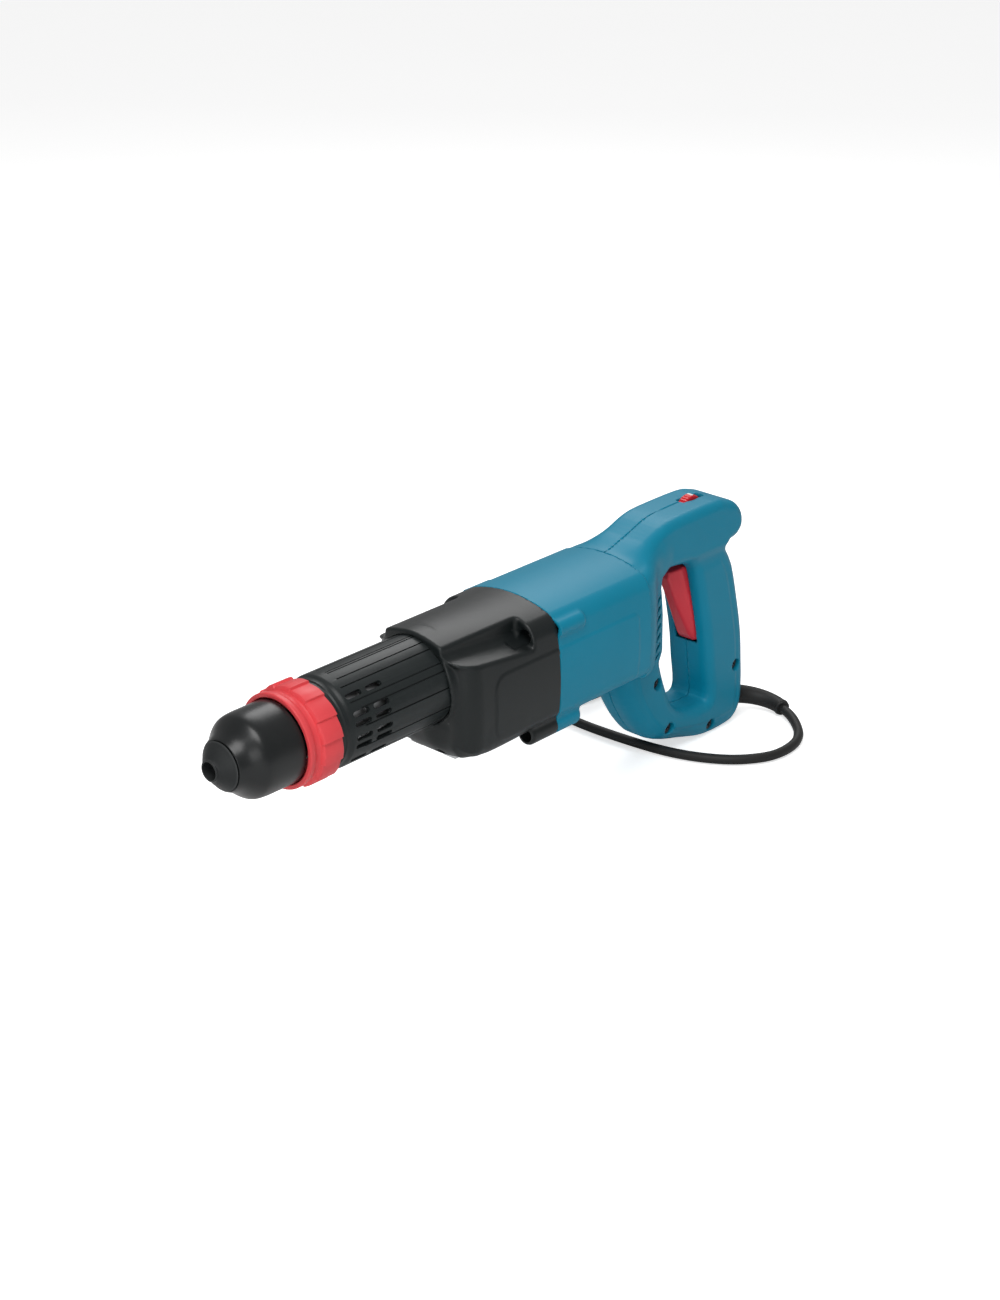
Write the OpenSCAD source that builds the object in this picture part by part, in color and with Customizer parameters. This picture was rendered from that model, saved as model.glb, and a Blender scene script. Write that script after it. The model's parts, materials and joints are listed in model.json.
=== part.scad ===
// Demolition hammer: in-line motor, swash drive, quick chuck and D-handle.
// Inside every module +X runs along the hammer axis from the nose to the handle,
// +Z is up and the nose tip is at x = 0. place() moves the whole tool so that
// its origin is at the centre of its footprint, on the surface it stands on.

/* [Chuck] */
// Radius of the shank bore
bore_r = 5.05; // [4:0.05:6.5]
// Length of the rubber nose cone
nose_l = 9; // [7:0.5:14]
// Length of the chuck cover behind the nose cone
cup_l = 42; // [38:1:60]
// Outer radius of the chuck cover
cup_r = 26.4; // [24:0.2:32]
// Travel of the chuck cover
cup_travel = 8; // [5:0.5:9]
// Length of the change ring
ring_l = 26; // [24:1:36]
// Radius of the change ring over its grips
ring_r = 32; // [30:0.5:38]
// Travel of the change ring
ring_travel = 3; // [1.5:0.5:3.5]

/* [Barrel] */
// Length of the plain collar behind the change ring
collar_l = 8; // [6:1:14]
// Length of the ribbed sleeve ahead of the gear cover
barrel_l = 83; // [75:1:120]
// Outer radius of the ribbed sleeve
barrel_r = 29.7; // [28:0.1:34]

/* [Housings] */
// Length of the gear cover
cover_l = 86; // [84:1:110]
// Length of the motor housing
motor_l = 91; // [88:1:120]
// Half of the housings' width
body_w = 43.5; // [42:0.5:55]
// Height of the housings' top above the barrel
arch_rise = 2.3; // [2:0.1:6]
// Depth of the housings' underside below the hammer axis
body_low = 50; // [49:1:60]
// Depth of the gear cover's chin below the hammer axis
chin_low = 57; // [55:1:66]
// Wall of the moulded housings
wall = 3; // [2.5:0.1:3.5]

/* [Handle] */
// Length from the motor housing to the rear of the grip
handle_l = 137.5; // [132:0.5:165]
// Depth of the handle's lowest point below the hammer axis
handle_low = 133; // [128:1:160]
// Height of the hump above the hammer axis
hump_top = 44.5; // [42:0.5:52]
// Half of the grip's thickness
grip_w = 19; // [18:0.5:24]
// Half of the hump's thickness
hump_w = 21; // [20:0.5:26]
// Swing of the trigger in degrees
trigger_swing = 10; // [6:1:11]

/* [Drive] */
// Teeth of the armature pinion
pinion_teeth = 7; // [6:1:9]
// Teeth of the drive gear
gear_teeth = 27; // [22:1:27]
// Tooth module
tooth_m = 1.15; // [1:0.05:1.15]
// Tilt of the swash ring in degrees
swash_tilt = 12; // [8:1:12]
// Radius of the motor core
stator_r = 35; // [32:0.5:35]

/* [Power cord] */
// Diameter of the cord
cord_d = 7; // [6:0.5:8]

/* [Hidden] */
$fn = 72;
body_top = barrel_r + arch_rise;

blue = [0, 0.49, 0.65];
black = [0.12, 0.14, 0.14];
red = [0.86, 0.25, 0.28];
steel = [0.7, 0.71, 0.73];
alloy = [0.78, 0.79, 0.8];
bronze = [0.72, 0.52, 0.3];
copper = [0.72, 0.42, 0.25];
rubber = [0.1, 0.1, 0.1];

run_fit = 0.05;
slide_fit = 0.05;
gap = 0.3;
cut = 1;

// Stations along the hammer axis
x_cup = nose_l;
x_rim = x_cup + cup_l;
x_collar = x_rim + ring_l;
x_barrel = x_collar + collar_l;
x_cover = x_barrel + barrel_l;
x_seam = x_cover + cover_l;
x_mend = x_seam + motor_l;
x_rear = x_mend + handle_l;
x_swash = x_cover + 28;
x_gear = x_swash + 15;
x_bulkhead = x_swash + 28;

// Chuck
holder_front_r = 11;
holder_mid_r = 15;
holder_rear_r = 13;
holder_socket_r = 8.05;
x_holder = x_cup + 0.5;
x_holder_step = x_collar + 2;
x_holder_end = x_collar + 23;
cup_wall = 2.4;
cup_inner_r = cup_r - cup_wall;
cup_mouth_r = 14;
boot_hole_r = bore_r + 0.6;
ball_r = 3.5;
ball_relief = 4;
x_ball = x_cup + 29;
ball_seat = 7.9;
guide_slope = 0.15;
guide_r = ball_seat + ball_r + 0.1;
web_x = x_rim + cup_travel + 7;
x_shoulder = web_x - ring_travel - 5;
bush_r = 18;
tail_r = barrel_r - 1.2;
tail_l = 10;

// Hammer mechanism
bolt_r = bore_r - slide_fit;
bolt_collar_r = 7.9;
bolt_tail_r = 6;
bolt_travel = 7;
striker_r = 11;
striker_l = 26;
piston_r = 15;
x_piston = x_swash - 66;
x_tube = x_swash - 84;
x_bolt_bush = x_swash - 96;
x_bolt_end = x_swash - 78;
x_striker = x_swash - 58;
pin_r = 5;
pin_barrel_r = 7;
arm_r = 4;

// Motor and gears
motor_z = -9.5;
pinion_r = pinion_teeth * tooth_m / 2;
gear_r = gear_teeth * tooth_m / 2;
shaft_z = motor_z - pinion_r - gear_r;
piston_travel = -shaft_z * tan(swash_tilt);
x_crown = x_swash - 14 - piston_travel;
shaft_r = 4;
swash_ball_r = 10.5;
swash_ring_r = 14.5;
small_bearing_r = 8;
front_bearing_r = 10;
rear_bearing_r = 9;
core_r = 20;
x_core = x_seam + 8;
core_l = 50;
x_commutator = x_core + core_l + 8;
commutator_r = 12;
fan_r = 31;

// Housings
arch_drop = 7;
corner_r = 8;
front_lip = 8;
screw_r = 2.4;
screw_head_r = 4.4;
boss_r = 7.5;
boss_l = 20;
top_boss = [body_w - boss_r - 0.5, body_top - 14];
low_boss = [body_w - 9.5, -body_low];
chin_boss = [14, 6.5 - chin_low];
chin_depth = 13.7;

// Handle: offsets are measured back from the motor housing
grip_top = 10;
flare_l = 36;
window_top = 7;
window_front = 40;
window_low = 106;
screw_head_deep = 6;
handle_holes = [
    [x_mend + 38, 61 - handle_low], [x_mend + 53, 22 - handle_low],
    [x_rear - 37.5, 8 - handle_low], [x_rear - 11.5, 46 - handle_low]
];
pivot = [x_rear - 42.5, 77 - handle_low];
grip_lean = 12.9;
plunger_r = 2.5;
plunger_z = pivot[1] + 26;
plunger_travel = 26 * tan(trigger_swing);
dial_r = 11;
dial_w = 6.4;
dial_proud = 2.3;
dial_x = x_rear - 48.5;
dial_z = hump_top + dial_proud - dial_r;

// Power cord, laid on the surface and coiled behind the tool
exit_z = 15 - handle_low;
guard_end_r = 5.5;
guard_r = 7.5;
guard_bend = 28;
guard_turn = 110;
guard_steps = 12;
cord_r = cord_d / 2;
guard_path = [for (i = [0 : guard_steps]) let (a = guard_turn * i / guard_steps)
    [x_rear - 4.5 + guard_bend * sin(a), guard_bend * (cos(a) - 1),
        exit_z - 9 * pow(i / guard_steps, 0.7)]];
guard_end = guard_path[guard_steps];
// Points of the free route, from the guard's end, with heights above the surface
route = [
    [0, 0, 6], [-5, -11, 5], [-12, -21, 3.5], [-22, -30, 3.5], [-34, -36, 3.5], [-48, -38, 3.5],
    [-62, -36, 3.5], [-75, -29, 3.5], [-86, -19, 3.5], [-95, -6, 3.5], [-102, 9, 3.5],
    [-107, 26, 3.5], [-110, 45, 3.5], [-112, 66, 3.5], [-113, 88, 3.5], [-113, 112, 4], [-113, 136, 4.5]
];
// Points of the cord's end, from the top of the coil up to the plug, about the coil's centre
tail_route = [
    [-38, 16, 25.6], [-31, 26, 25.6], [-21, 34, 25.8], [-10, 38.6, 27], [2, 40, 29.5], [12, 40, 31.4],
    [20, 40, 32]
];
coil_mean_r = 40;
coil_side = 3 * cord_d;
tie_wall = 1;
coil_centre = [guard_end[0] - 113 + coil_mean_r + cord_d, guard_end[1] + 164];
plug_at = [coil_centre[0] + 20, coil_centre[1] + coil_mean_r, 32 - handle_low];
plug_l = 30;

module place() {
    translate([-x_rear / 2, 0, handle_low]) children();
}

// Solid of revolution about the hammer axis from [radius, x] points
module lathe(points, z = 0) {
    translate([0, 0, z]) rotate([0, 90, 0]) rotate_extrude() polygon(points);
}

module rod(x, l, r, y = 0, z = 0) {
    translate([x, y, z]) rotate([0, 90, 0]) cylinder(h = l, r = r);
}

module pipe(x, l, outer, inner, y = 0, z = 0) {
    difference() {
        rod(x, l, outer, y, z);
        rod(x - cut, l + 2 * cut, inner, y, z);
    }
}

// Cylinder along Y, centred on y = 0 unless an end is given
module bar(x, z, r, l, y = undef) {
    y0 = is_undef(y) ? -l / 2 : y;
    translate([x, y0 + l, z]) rotate([90, 0, 0]) cylinder(h = l, r = r);
}

// Plate in the YZ plane, drawn as [y, z], from x along +X
module slice(x, l) {
    translate([x, 0, 0]) rotate([90, 0, 90]) linear_extrude(height = l) children();
}

// Plate in the XZ plane, drawn as [x, z], from y0 to y1
module slab(y0, y1) {
    translate([0, y1, 0]) rotate([90, 0, 0]) linear_extrude(height = y1 - y0) children();
}

function unit(v) = v / norm(v);
function heading(p, i) = unit(p[min(i + 1, len(p) - 1)] - p[max(i - 1, 0)]);
function ring_points(p, i, r, n, ref) =
    let (t = heading(p, i), u = unit(cross(ref, t)), v = cross(t, u))
    [for (k = [0 : n - 1]) p[i] + r * (cos(360 * k / n) * u + sin(360 * k / n) * v)];

// Tube that follows a path, with one radius or a radius for each point
module sweep(p, r, n, ref = [0, 0, 1]) {
    m = len(p);
    points = [for (i = [0 : m - 1]) each ring_points(p, i, is_list(r) ? r[i] : r, n, ref)];
    sides = [for (i = [0 : m - 2], k = [0 : n - 1])
        [i * n + k, (i + 1) * n + k, (i + 1) * n + (k + 1) % n, i * n + (k + 1) % n]];
    ends = [[for (k = [0 : n - 1]) k], [for (k = [n - 1 : -1 : 0]) (m - 1) * n + k]];
    polyhedron(concat(points), concat(sides, ends), convexity = 4);
}

// Compression spring along X
module spring(x, l, r, wire, turns, y = 0, z = 0) {
    steps = turns * 12;
    path = [for (i = [0 : steps]) let (a = 360 * turns * i / steps)
        [x + wire + (l - 2 * wire) * i / steps, y + r * cos(a), z + r * sin(a)]];
    sweep(path, wire, 5, [1, 0, 0]);
}

// ---- Chuck ----

module nose_boot() {
    color(rubber) lathe([
        [boot_hole_r, 0.4], [boot_hole_r + 0.4, 0], [bore_r + 1.7, 0], [7.4, 0.8], [9.2, 2.2], [12.5, 4.6],
        [15, 6.9], [16.3, x_cup - 0.8], [16.3, x_cup], [cup_mouth_r - gap, x_cup],
        [cup_mouth_r - gap, x_cup + 7], [holder_front_r, x_cup + 7], [holder_front_r, x_holder],
        [boot_hole_r, x_holder]
    ]);
}

module chuck_cover() {
    color(black) lathe([
        [cup_mouth_r, x_cup + gap], [16, x_cup + gap], [18.5, x_cup + 5], [21.6, x_cup + 9],
        [24.8, x_cup + 13], [cup_r - 0.3, x_cup + 17.5], [cup_r, x_cup + 22], [cup_r, x_rim],
        [cup_inner_r, x_rim], [cup_inner_r, x_cup + 21], [22.6, x_cup + 15], [19.4, x_cup + 11],
        [16.6, x_cup + 7.6], [cup_mouth_r, x_cup + 6]
    ]);
}

module ball_guide_ring() {
    // A cone lets the balls out as the cover is drawn back over them
    front = x_ball - 11;
    color(steel) lathe([
        [guide_r + 11 * guide_slope, front], [19, front], [19, x_ball - 8], [cup_inner_r, x_ball - 8],
        [cup_inner_r, x_ball - 4], [17, x_ball - 4], [17, x_ball + 8], [holder_front_r + 0.1, x_ball + 8],
        [holder_front_r + 0.1, x_ball + 4], [guide_r, x_ball + 4], [guide_r, x_ball]
    ]);
}

module cover_spring() {
    color(steel) spring(x_ball + 8, x_shoulder - x_ball - 8, 12.8, 0.8, 2);
}

module lock_ball(side) {
    color(steel) translate([x_ball, side * ball_seat, 0]) sphere(r = ball_r);
}

module lock_ball_left() { lock_ball(-1); }

module lock_ball_right() { lock_ball(1); }

module tool_holder() {
    color(steel) difference() {
        lathe([
            [bore_r, x_holder], [holder_front_r, x_holder], [holder_front_r, x_shoulder],
            [18, x_shoulder], [18, x_shoulder + 2], [holder_mid_r, x_shoulder + 2],
            [holder_mid_r, x_holder_step], [holder_rear_r, x_holder_step],
            [holder_rear_r, x_holder_end], [holder_socket_r, x_holder_end],
            [holder_socket_r, x_holder_end - bolt_travel - 13], [bore_r, x_holder_end - bolt_travel - 13],
            [bore_r, x_ball + ball_relief], [boot_hole_r, x_ball + ball_relief],
            [boot_hole_r, x_ball - ball_relief], [bore_r, x_ball - ball_relief]
        ]);
        bar(x_ball, 0, ball_r + slide_fit, 2 * holder_front_r + cut);
    }
}

module change_ring() {
    grips = 14;
    inner = cup_r + 0.6;
    color(red) difference() {
        lathe([
            [inner, x_rim + gap], [29.2, x_rim + gap], [29.8, x_rim + 1], [29.8, x_rim + 4],
            [28.5, x_rim + 5], [28.5, x_rim + 9], [ring_r - 1, x_rim + 9.5], [ring_r, x_rim + 10.5],
            [ring_r, x_collar - 1.5], [ring_r - 1, x_collar - gap],
            [holder_mid_r + slide_fit, x_collar - gap],
            [holder_mid_r + slide_fit, web_x], [inner, web_x]
        ]);
        for (i = [0 : grips - 1]) rotate([360 * i / grips, 0, 0])
            translate([x_rim + 10, -1.5, ring_r - 0.9]) cube([ring_l, 3, 3]);
    }
}

module ring_spring() {
    color(steel) spring(x_shoulder + 2, web_x - x_shoulder - 2, 16.6, 0.6, 2);
}

module dust_seal() {
    color(rubber) pipe(x_collar + 3, 5, 20, holder_rear_r + 0.08);
}

module holder_bush() {
    color(bronze) pipe(x_collar + 9, 14, bush_r, holder_rear_r + run_fit);
}

// ---- Barrel ----

module barrel_sleeve() {
    rows = [47, 24.5, 12.5, -4.5, -15.5, -38];
    color(black) difference() {
        lathe([
            [16, x_collar], [26.5, x_collar], [27.5, x_collar + 1], [27.5, x_barrel],
            [barrel_r, x_barrel + 1.5], [barrel_r, x_cover + 1], [tail_r, x_cover + 1],
            [tail_r, x_cover + tail_l], [barrel_r - 3, x_cover + tail_l], [barrel_r - 3, x_barrel],
            [24.5, x_barrel - 1], [24.5, x_collar + 2.5], [16, x_collar + 2.5]
        ]);
        for (side = [0, 1], a = rows, column = [0, 1])
            mirror([0, side, 0]) rotate([-a, 0, 0])
                translate([x_barrel + 3.5 + 16.5 * column, -barrel_r - cut, -1.8]) cube([13, 8, 3.6]);
    }
}

module barrel_housing() {
    flange = x_cover + tail_l;
    color(alloy) difference() {
        lathe([
            [20, x_collar + 3], [24, x_collar + 3], [24, x_cover - 4], [26.5, x_cover - 4],
            [26.5, flange], [27.5, flange], [27.5, flange + 3],
            [bush_r, flange + 3], [bush_r, x_collar + 9], [20, x_collar + 8]
        ]);
        for (a = [0 : 60 : 300]) rotate([a, 0, 0]) translate([x_barrel + 22, 22, -2])
            cube([barrel_l - 40, 6, 4]);
    }
}

module cylinder_tube() {
    color(steel) pipe(x_tube, x_swash - 22 - x_tube, bush_r, piston_r + run_fit);
}

module bolt_bush() {
    color(bronze) pipe(x_bolt_bush, x_tube - x_bolt_bush, bush_r, bolt_tail_r + run_fit);
}

module impact_bolt() {
    front = x_holder_end - 28;
    collar = x_holder_end - bolt_travel - 9;
    color(steel) lathe([
        [0, front], [bolt_r - 1, front], [bolt_r, front + 1], [bolt_r, collar],
        [bolt_collar_r, collar], [bolt_collar_r, collar + 8], [bolt_tail_r, collar + 8],
        [bolt_tail_r, x_bolt_end - 1], [bolt_tail_r - 1, x_bolt_end], [0, x_bolt_end]
    ]);
}

module striker() {
    groove = x_striker + striker_l - 8;
    color(steel) lathe([
        [0, x_striker], [7, x_striker], [striker_r, x_striker + 4], [striker_r, groove],
        [striker_r - 2, groove], [striker_r - 2, groove + 3], [striker_r, groove + 3],
        [striker_r, x_striker + striker_l], [0, x_striker + striker_l]
    ]);
}

module striker_o_ring() {
    color(rubber) pipe(x_striker + striker_l - 8, 3, striker_r, striker_r - 2);
}

module piston_cylinder() {
    ear = [pin_barrel_r + 2, 4];
    color(alloy) difference() {
        union() {
            lathe([
                [striker_r + slide_fit, x_piston], [piston_r, x_piston], [piston_r, x_crown + 6],
                [0, x_crown + 6], [0, x_crown], [striker_r + slide_fit, x_crown]
            ]);
            for (side = [-1, 1])
                slab(side < 0 ? -ear[0] - ear[1] : ear[0], side < 0 ? -ear[0] : ear[0] + ear[1])
                translate([x_crown + 5, -8]) square([22, 16]);
        }
        bar(x_swash, 0, pin_r + run_fit, 40);
    }
}

module piston_pin() {
    // The swash arm slides up and down in the hole through the pin's barrel
    color(steel) difference() {
        union() {
            bar(x_swash, 0, pin_r, 26);
            bar(x_swash, 0, pin_barrel_r, 2 * pin_barrel_r + 3);
        }
        translate([x_swash, 0, -20]) cylinder(h = 40, r = arm_r + 0.15);
    }
}

// ---- Drive ----

// Outline of a spur gear; the flanks are slim so that the teeth run with backlash
module gear_outline(teeth, turn = 0) {
    pitch = teeth * tooth_m / 2;
    root = pitch - 1.2 * tooth_m;
    tip = pitch + 0.85 * tooth_m;
    base_half = 0.85 * tooth_m;
    pitch_half = 0.62 * tooth_m;
    tip_half = 0.3 * tooth_m;
    union() {
        circle(r = root);
        for (i = [0 : teeth - 1]) rotate(turn + 360 * i / teeth)
            polygon([[root - 0.8, -base_half], [pitch, -pitch_half], [tip, -tip_half],
                     [tip, tip_half], [pitch, pitch_half], [root - 0.8, base_half]]);
    }
}

module swash_shaft() {
    color(steel) union() {
        rod(x_swash - 14, x_bulkhead + 26 - x_swash, shaft_r, 0, shaft_z);
        intersection() {
            translate([x_swash, 0, shaft_z]) sphere(r = swash_ball_r);
            rod(x_swash - 7, 14, swash_ball_r, 0, shaft_z);
        }
    }
}

module drive_gear() {
    color(steel) difference() {
        translate([0, 0, shaft_z]) slice(x_gear, 9) gear_outline(gear_teeth, 90);
        rod(x_gear - cut, 9 + 2 * cut, shaft_r, 0, shaft_z);
    }
}

module swash_ring() {
    color(steel) difference() {
        union() {
            rod(x_swash - 4.5, 9, swash_ring_r, 0, shaft_z);
            translate([x_swash, 0, shaft_z + swash_ball_r + 1])
                cylinder(h = 6 - shaft_z - swash_ball_r, r = arm_r);
        }
        translate([x_swash, 0, shaft_z]) sphere(r = swash_ball_r + 0.1);
    }
}

module shaft_bearings() {
    color(steel) union() {
        pipe(x_swash - 14, 6, small_bearing_r, shaft_r + 0.02, 0, shaft_z);
        pipe(x_bulkhead + 3, 7, small_bearing_r, shaft_r + 0.02, 0, shaft_z);
    }
}

// ---- Motor ----

module armature_shaft() {
    front = x_gear - 1;
    rear = x_mend - 1;
    color(steel) union() {
        translate([0, 0, motor_z]) slice(front, 11) gear_outline(pinion_teeth, -90 + 180 / pinion_teeth);
        rod(front + 11, rear - front - 11, shaft_r, 0, motor_z);
    }
}

module armature_core() {
    slots = 12;
    color(steel) difference() {
        rod(x_core, core_l, core_r, 0, motor_z);
        rod(x_core - cut, core_l + 2 * cut, shaft_r, 0, motor_z);
        for (i = [0 : slots - 1]) translate([x_core - cut, 0, motor_z]) rotate([360 * i / slots, 0, 0])
            translate([0, -0.8, core_r - 2]) cube([core_l + 2 * cut, 1.6, 3]);
    }
}

module commutator() {
    color(copper) pipe(x_commutator, 14, commutator_r, shaft_r, 0, motor_z);
}

module cooling_fan() {
    blades = 12;
    front = x_seam - 13;
    color(black) difference() {
        union() {
            rod(front, 10, 9, 0, motor_z);
            rod(front, 1.5, fan_r, 0, motor_z);
            for (i = [0 : blades - 1]) translate([front, 0, motor_z]) rotate([360 * i / blades, 0, 0])
                translate([0, -0.8, 8]) cube([10, 1.6, fan_r - 9]);
        }
        rod(front - cut, 10 + 2 * cut, shaft_r, 0, motor_z);
    }
}

module armature_bearings() {
    color(steel) union() {
        pipe(x_bulkhead + 2, 8, front_bearing_r, shaft_r + 0.02, 0, motor_z);
        pipe(x_mend - 8, 7, rear_bearing_r, shaft_r + 0.02, 0, motor_z);
    }
}

module stator_core() {
    color(steel) pipe(x_core, core_l, stator_r, core_r + 0.8, 0, motor_z);
}

module field_coils() {
    color(copper) for (side = [-1, 1], x = [x_core - 6, x_core + core_l])
        intersection() {
            pipe(x, 6, stator_r - 2, core_r + 2, 0, motor_z);
            translate([x - cut, -30, side < 0 ? motor_z - 40 : motor_z + 8]) cube([8, 60, 32]);
        }
}

module fan_baffle() {
    color(black) pipe(x_seam - 1, 2, stator_r - 2, 14, 0, motor_z);
}

module brush_holders() {
    color(bronze) for (side = [0, 1]) mirror([0, side, 0]) difference() {
        translate([x_commutator + 2, commutator_r + 1, motor_z - 5]) cube([10, 19, 10]);
        translate([x_commutator + 4, commutator_r, motor_z - 3.2]) cube([6, 18.5, 6.4]);
    }
}

module carbon_brushes() {
    color(rubber) for (side = [0, 1]) mirror([0, side, 0])
        translate([x_commutator + 4.2, commutator_r + 0.05, motor_z - 3]) cube([5.6, 11, 6]);
}

module brush_springs() {
    color(steel) for (side = [0, 1]) mirror([0, side, 0])
        translate([x_commutator + 7, commutator_r + 11.2, motor_z]) rotate([0, 0, 90])
            spring(0, 7.2, 1.8, 0.35, 4);
}

// ---- Housings ----

// Cross-section of the housings as [y, z]: flat sides under a low arched top
module body_section(low = body_low, inset = 0) {
    arch_r = (pow(body_w - corner_r, 2) + arch_drop * arch_drop) / (2 * arch_drop);
    offset(delta = -inset) offset(r = corner_r) offset(delta = -corner_r) intersection() {
        translate([-body_w, -low]) square([2 * body_w, low + body_top]);
        translate([0, body_top - arch_r]) circle(r = arch_r, $fn = 180);
    }
}

// Side outline of the gear cover as [x, z]: visor over the barrel and chin below it
module cover_outline(inset = 0) {
    offset(delta = -inset) offset(r = 5) offset(delta = -5) polygon([
        [x_cover - front_lip, body_top + 5], [x_seam + inset + 10, body_top + 5],
        [x_seam + inset + 10, -body_low], [x_cover + 48, -body_low], [x_cover + 26, -chin_low],
        [x_cover + 2, -chin_low], [x_cover - 12, -barrel_r - 12], [x_cover - 14, -barrel_r - 1],
        [x_cover, -barrel_r + 8], [x_cover, barrel_r - 12], [x_cover - front_lip, barrel_r + 1]
    ]);
}

module screw_bosses(x, l, r) {
    for (side = [-1, 1]) {
        rod(x, l, r, side * top_boss[0], top_boss[1]);
        rod(x, l, r, side * low_boss[0], low_boss[1]);
    }
}

// Recesses in the upper flanks, through which the top screws are put in
module screw_pockets(grow) {
    for (side = [0, 1]) mirror([0, side, 0])
        translate([x_cover + 8 - grow, top_boss[0] - 5 - grow, top_boss[1] - 5.5 - grow])
            cube([cover_l - boss_l - 8 + grow, 20, 11 + 2 * grow]);
}

module chin_bores(x, l, r) {
    for (side = [-1, 1]) rod(x, l, r, side * chin_boss[0], chin_boss[1]);
}

module gear_cover() {
    color(black) difference() {
        union() {
            intersection() {
                slice(x_cover - 20, cover_l + 20) body_section(chin_low);
                slab(-body_w, body_w) cover_outline();
            }
            screw_bosses(x_seam - boss_l, boss_l, boss_r - 0.5);
        }
        difference() {
            intersection() {
                slice(x_cover - 20, cover_l + 30) body_section(chin_low, wall);
                slab(-body_w, body_w) cover_outline(wall);
            }
            screw_bosses(x_seam - boss_l, boss_l, boss_r - 0.5);
            screw_pockets(wall);
            chin_bores(x_cover - 20, 20 + chin_depth, 6.5);
        }
        rod(x_cover - 30, 31 + gap, barrel_r + gap);
        rod(x_cover, tail_l + 4, tail_r + gap);
        screw_pockets(0);
        screw_bosses(x_seam - boss_l - cut, boss_l + 2 * cut, screw_r + 0.2);
        screw_bosses(x_seam - boss_l - 6, 10, screw_head_r + 0.4);
        chin_bores(x_cover - 30, 26 + chin_depth, 4.2);
        chin_bores(x_cover - 30, 31 + chin_depth, 2.2);
    }
}

module front_bracket() {
    color(alloy) difference() {
        union() {
            slice(x_swash - 14, 6) translate([0, -15]) circle(r = 35);
            intersection() {
                chin_bores(x_swash - 14, 6, 6);
                slice(x_swash - 20, 20) body_section(chin_low, wall + gap);
                slab(-body_w, body_w) cover_outline(wall + gap);
            }
        }
        rod(x_swash - 20, 20, piston_r + 1);
        rod(x_swash - 20, 20, small_bearing_r, 0, shaft_z);
        chin_bores(x_swash - 20, 20, 2);
    }
}

module inner_housing() {
    color(alloy) difference() {
        slice(x_bulkhead, 11) intersection() {
            union() {
                translate([-36, -46]) square([72, 54]);
                translate([-21, -46]) square([42, 70]);
            }
            translate([0, motor_z]) circle(r = 38);
        }
        rod(x_bulkhead + 2, 20, front_bearing_r, 0, motor_z);
        rod(x_bulkhead - cut, 20, shaft_r + 2, 0, motor_z);
        rod(x_bulkhead + 3, 20, small_bearing_r, 0, shaft_z);
        rod(x_bulkhead - cut, 20, shaft_r + 2, 0, shaft_z);
        screw_bosses(x_bulkhead - cut, 20, boss_r + gap);
        screw_pockets(wall + gap);
    }
}

module motor_housing() {
    seat_l = 5;
    color(blue) difference() {
        union() {
            slice(x_seam, motor_l) body_section();
            screw_bosses(x_seam, 24, boss_r - 0.5);
        }
        difference() {
            slice(x_seam - cut, motor_l - 4) body_section(body_low, wall);
            screw_bosses(x_seam - cut, 24 + cut, boss_r - 0.5);
            for (x = [x_core + 4, x_core + core_l - 4 - seat_l]) difference() {
                slice(x, seat_l) body_section();
                rod(x - cut, seat_l + 2 * cut, stator_r, 0, motor_z);
            }
            rod(x_mend - 9, 10, rear_bearing_r + 3, 0, motor_z);
        }
        rod(x_mend - 8, 7, rear_bearing_r, 0, motor_z);
        rod(x_mend - 12, 6, shaft_r + 2, 0, motor_z);
        screw_bosses(x_seam - cut, 20, screw_r + 0.05);
        for (side = [0, 1], z = [18 : -12 : -42]) mirror([0, side, 0])
            translate([x_mend - 8, body_w - 21, z - 2]) cube([10, 12, 4]);
    }
}

module housing_screws() {
    color(steel) difference() {
        union() {
            screw_bosses(x_seam - boss_l + 4, 32, screw_r);
            screw_bosses(x_seam - boss_l, 4, screw_head_r);
        }
        for (side = [-1, 1], p = [top_boss, low_boss])
            translate([x_seam - boss_l - cut, side * p[0], p[1]]) rotate([0, 90, 0])
                cylinder(h = 3, r = 2, $fn = 6);
    }
}

module chin_screws() {
    seat = x_cover + chin_depth - 4;
    color(steel) union() {
        chin_bores(seat - 3, 3, 3.8);
        chin_bores(seat, 10, 2);
    }
}

// ---- Handle ----

// Side outline of the D-handle as [x, z], without its window
module handle_outline() {
    m = x_mend;
    r = x_rear;
    low = -handle_low;
    offset(r = 6) offset(delta = -6) polygon([
        [m, body_top], [m + 6, body_top], [m + 20, hump_top - 8], [m + 40, hump_top],
        [r - 38, hump_top], [r - 20, hump_top - 6], [r - 12, hump_top - 15], [r - 12, hump_top - 29],
        [r - 27, grip_top], [r - 12, -34], [r - 1.5, -78], [r, low + 33], [r, low + 12], [r - 12, low + 1],
        [r - 24, low], [m + 66, low + 7], [m + 46, low + 14], [m + 32, low + 22], [m + 18, low + 40],
        [m + 4, -body_low], [m, -body_low]
    ]);
}

module handle_window(grow = 0) {
    m = x_mend;
    r = x_rear;
    offset(r = 7 + grow) offset(delta = -7) polygon([
        [m + window_front, window_top], [r - 60, window_top], [r - 48.5, -57], [r - 40, -window_low],
        [m + 66, -window_low], [m + 42, -52]
    ]);
}

// Runs from the housing's section to the thickness of the grip
module flare(w1, inset) {
    hull() {
        slice(x_mend, 1) body_section(body_low, inset);
        translate([x_mend + flare_l + (inset > 0 ? -2 : 0), -w1, inset - body_low - 8])
            cube([1, 2 * w1, body_low + 8 + 38 - 2 * inset]);
    }
}

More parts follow.
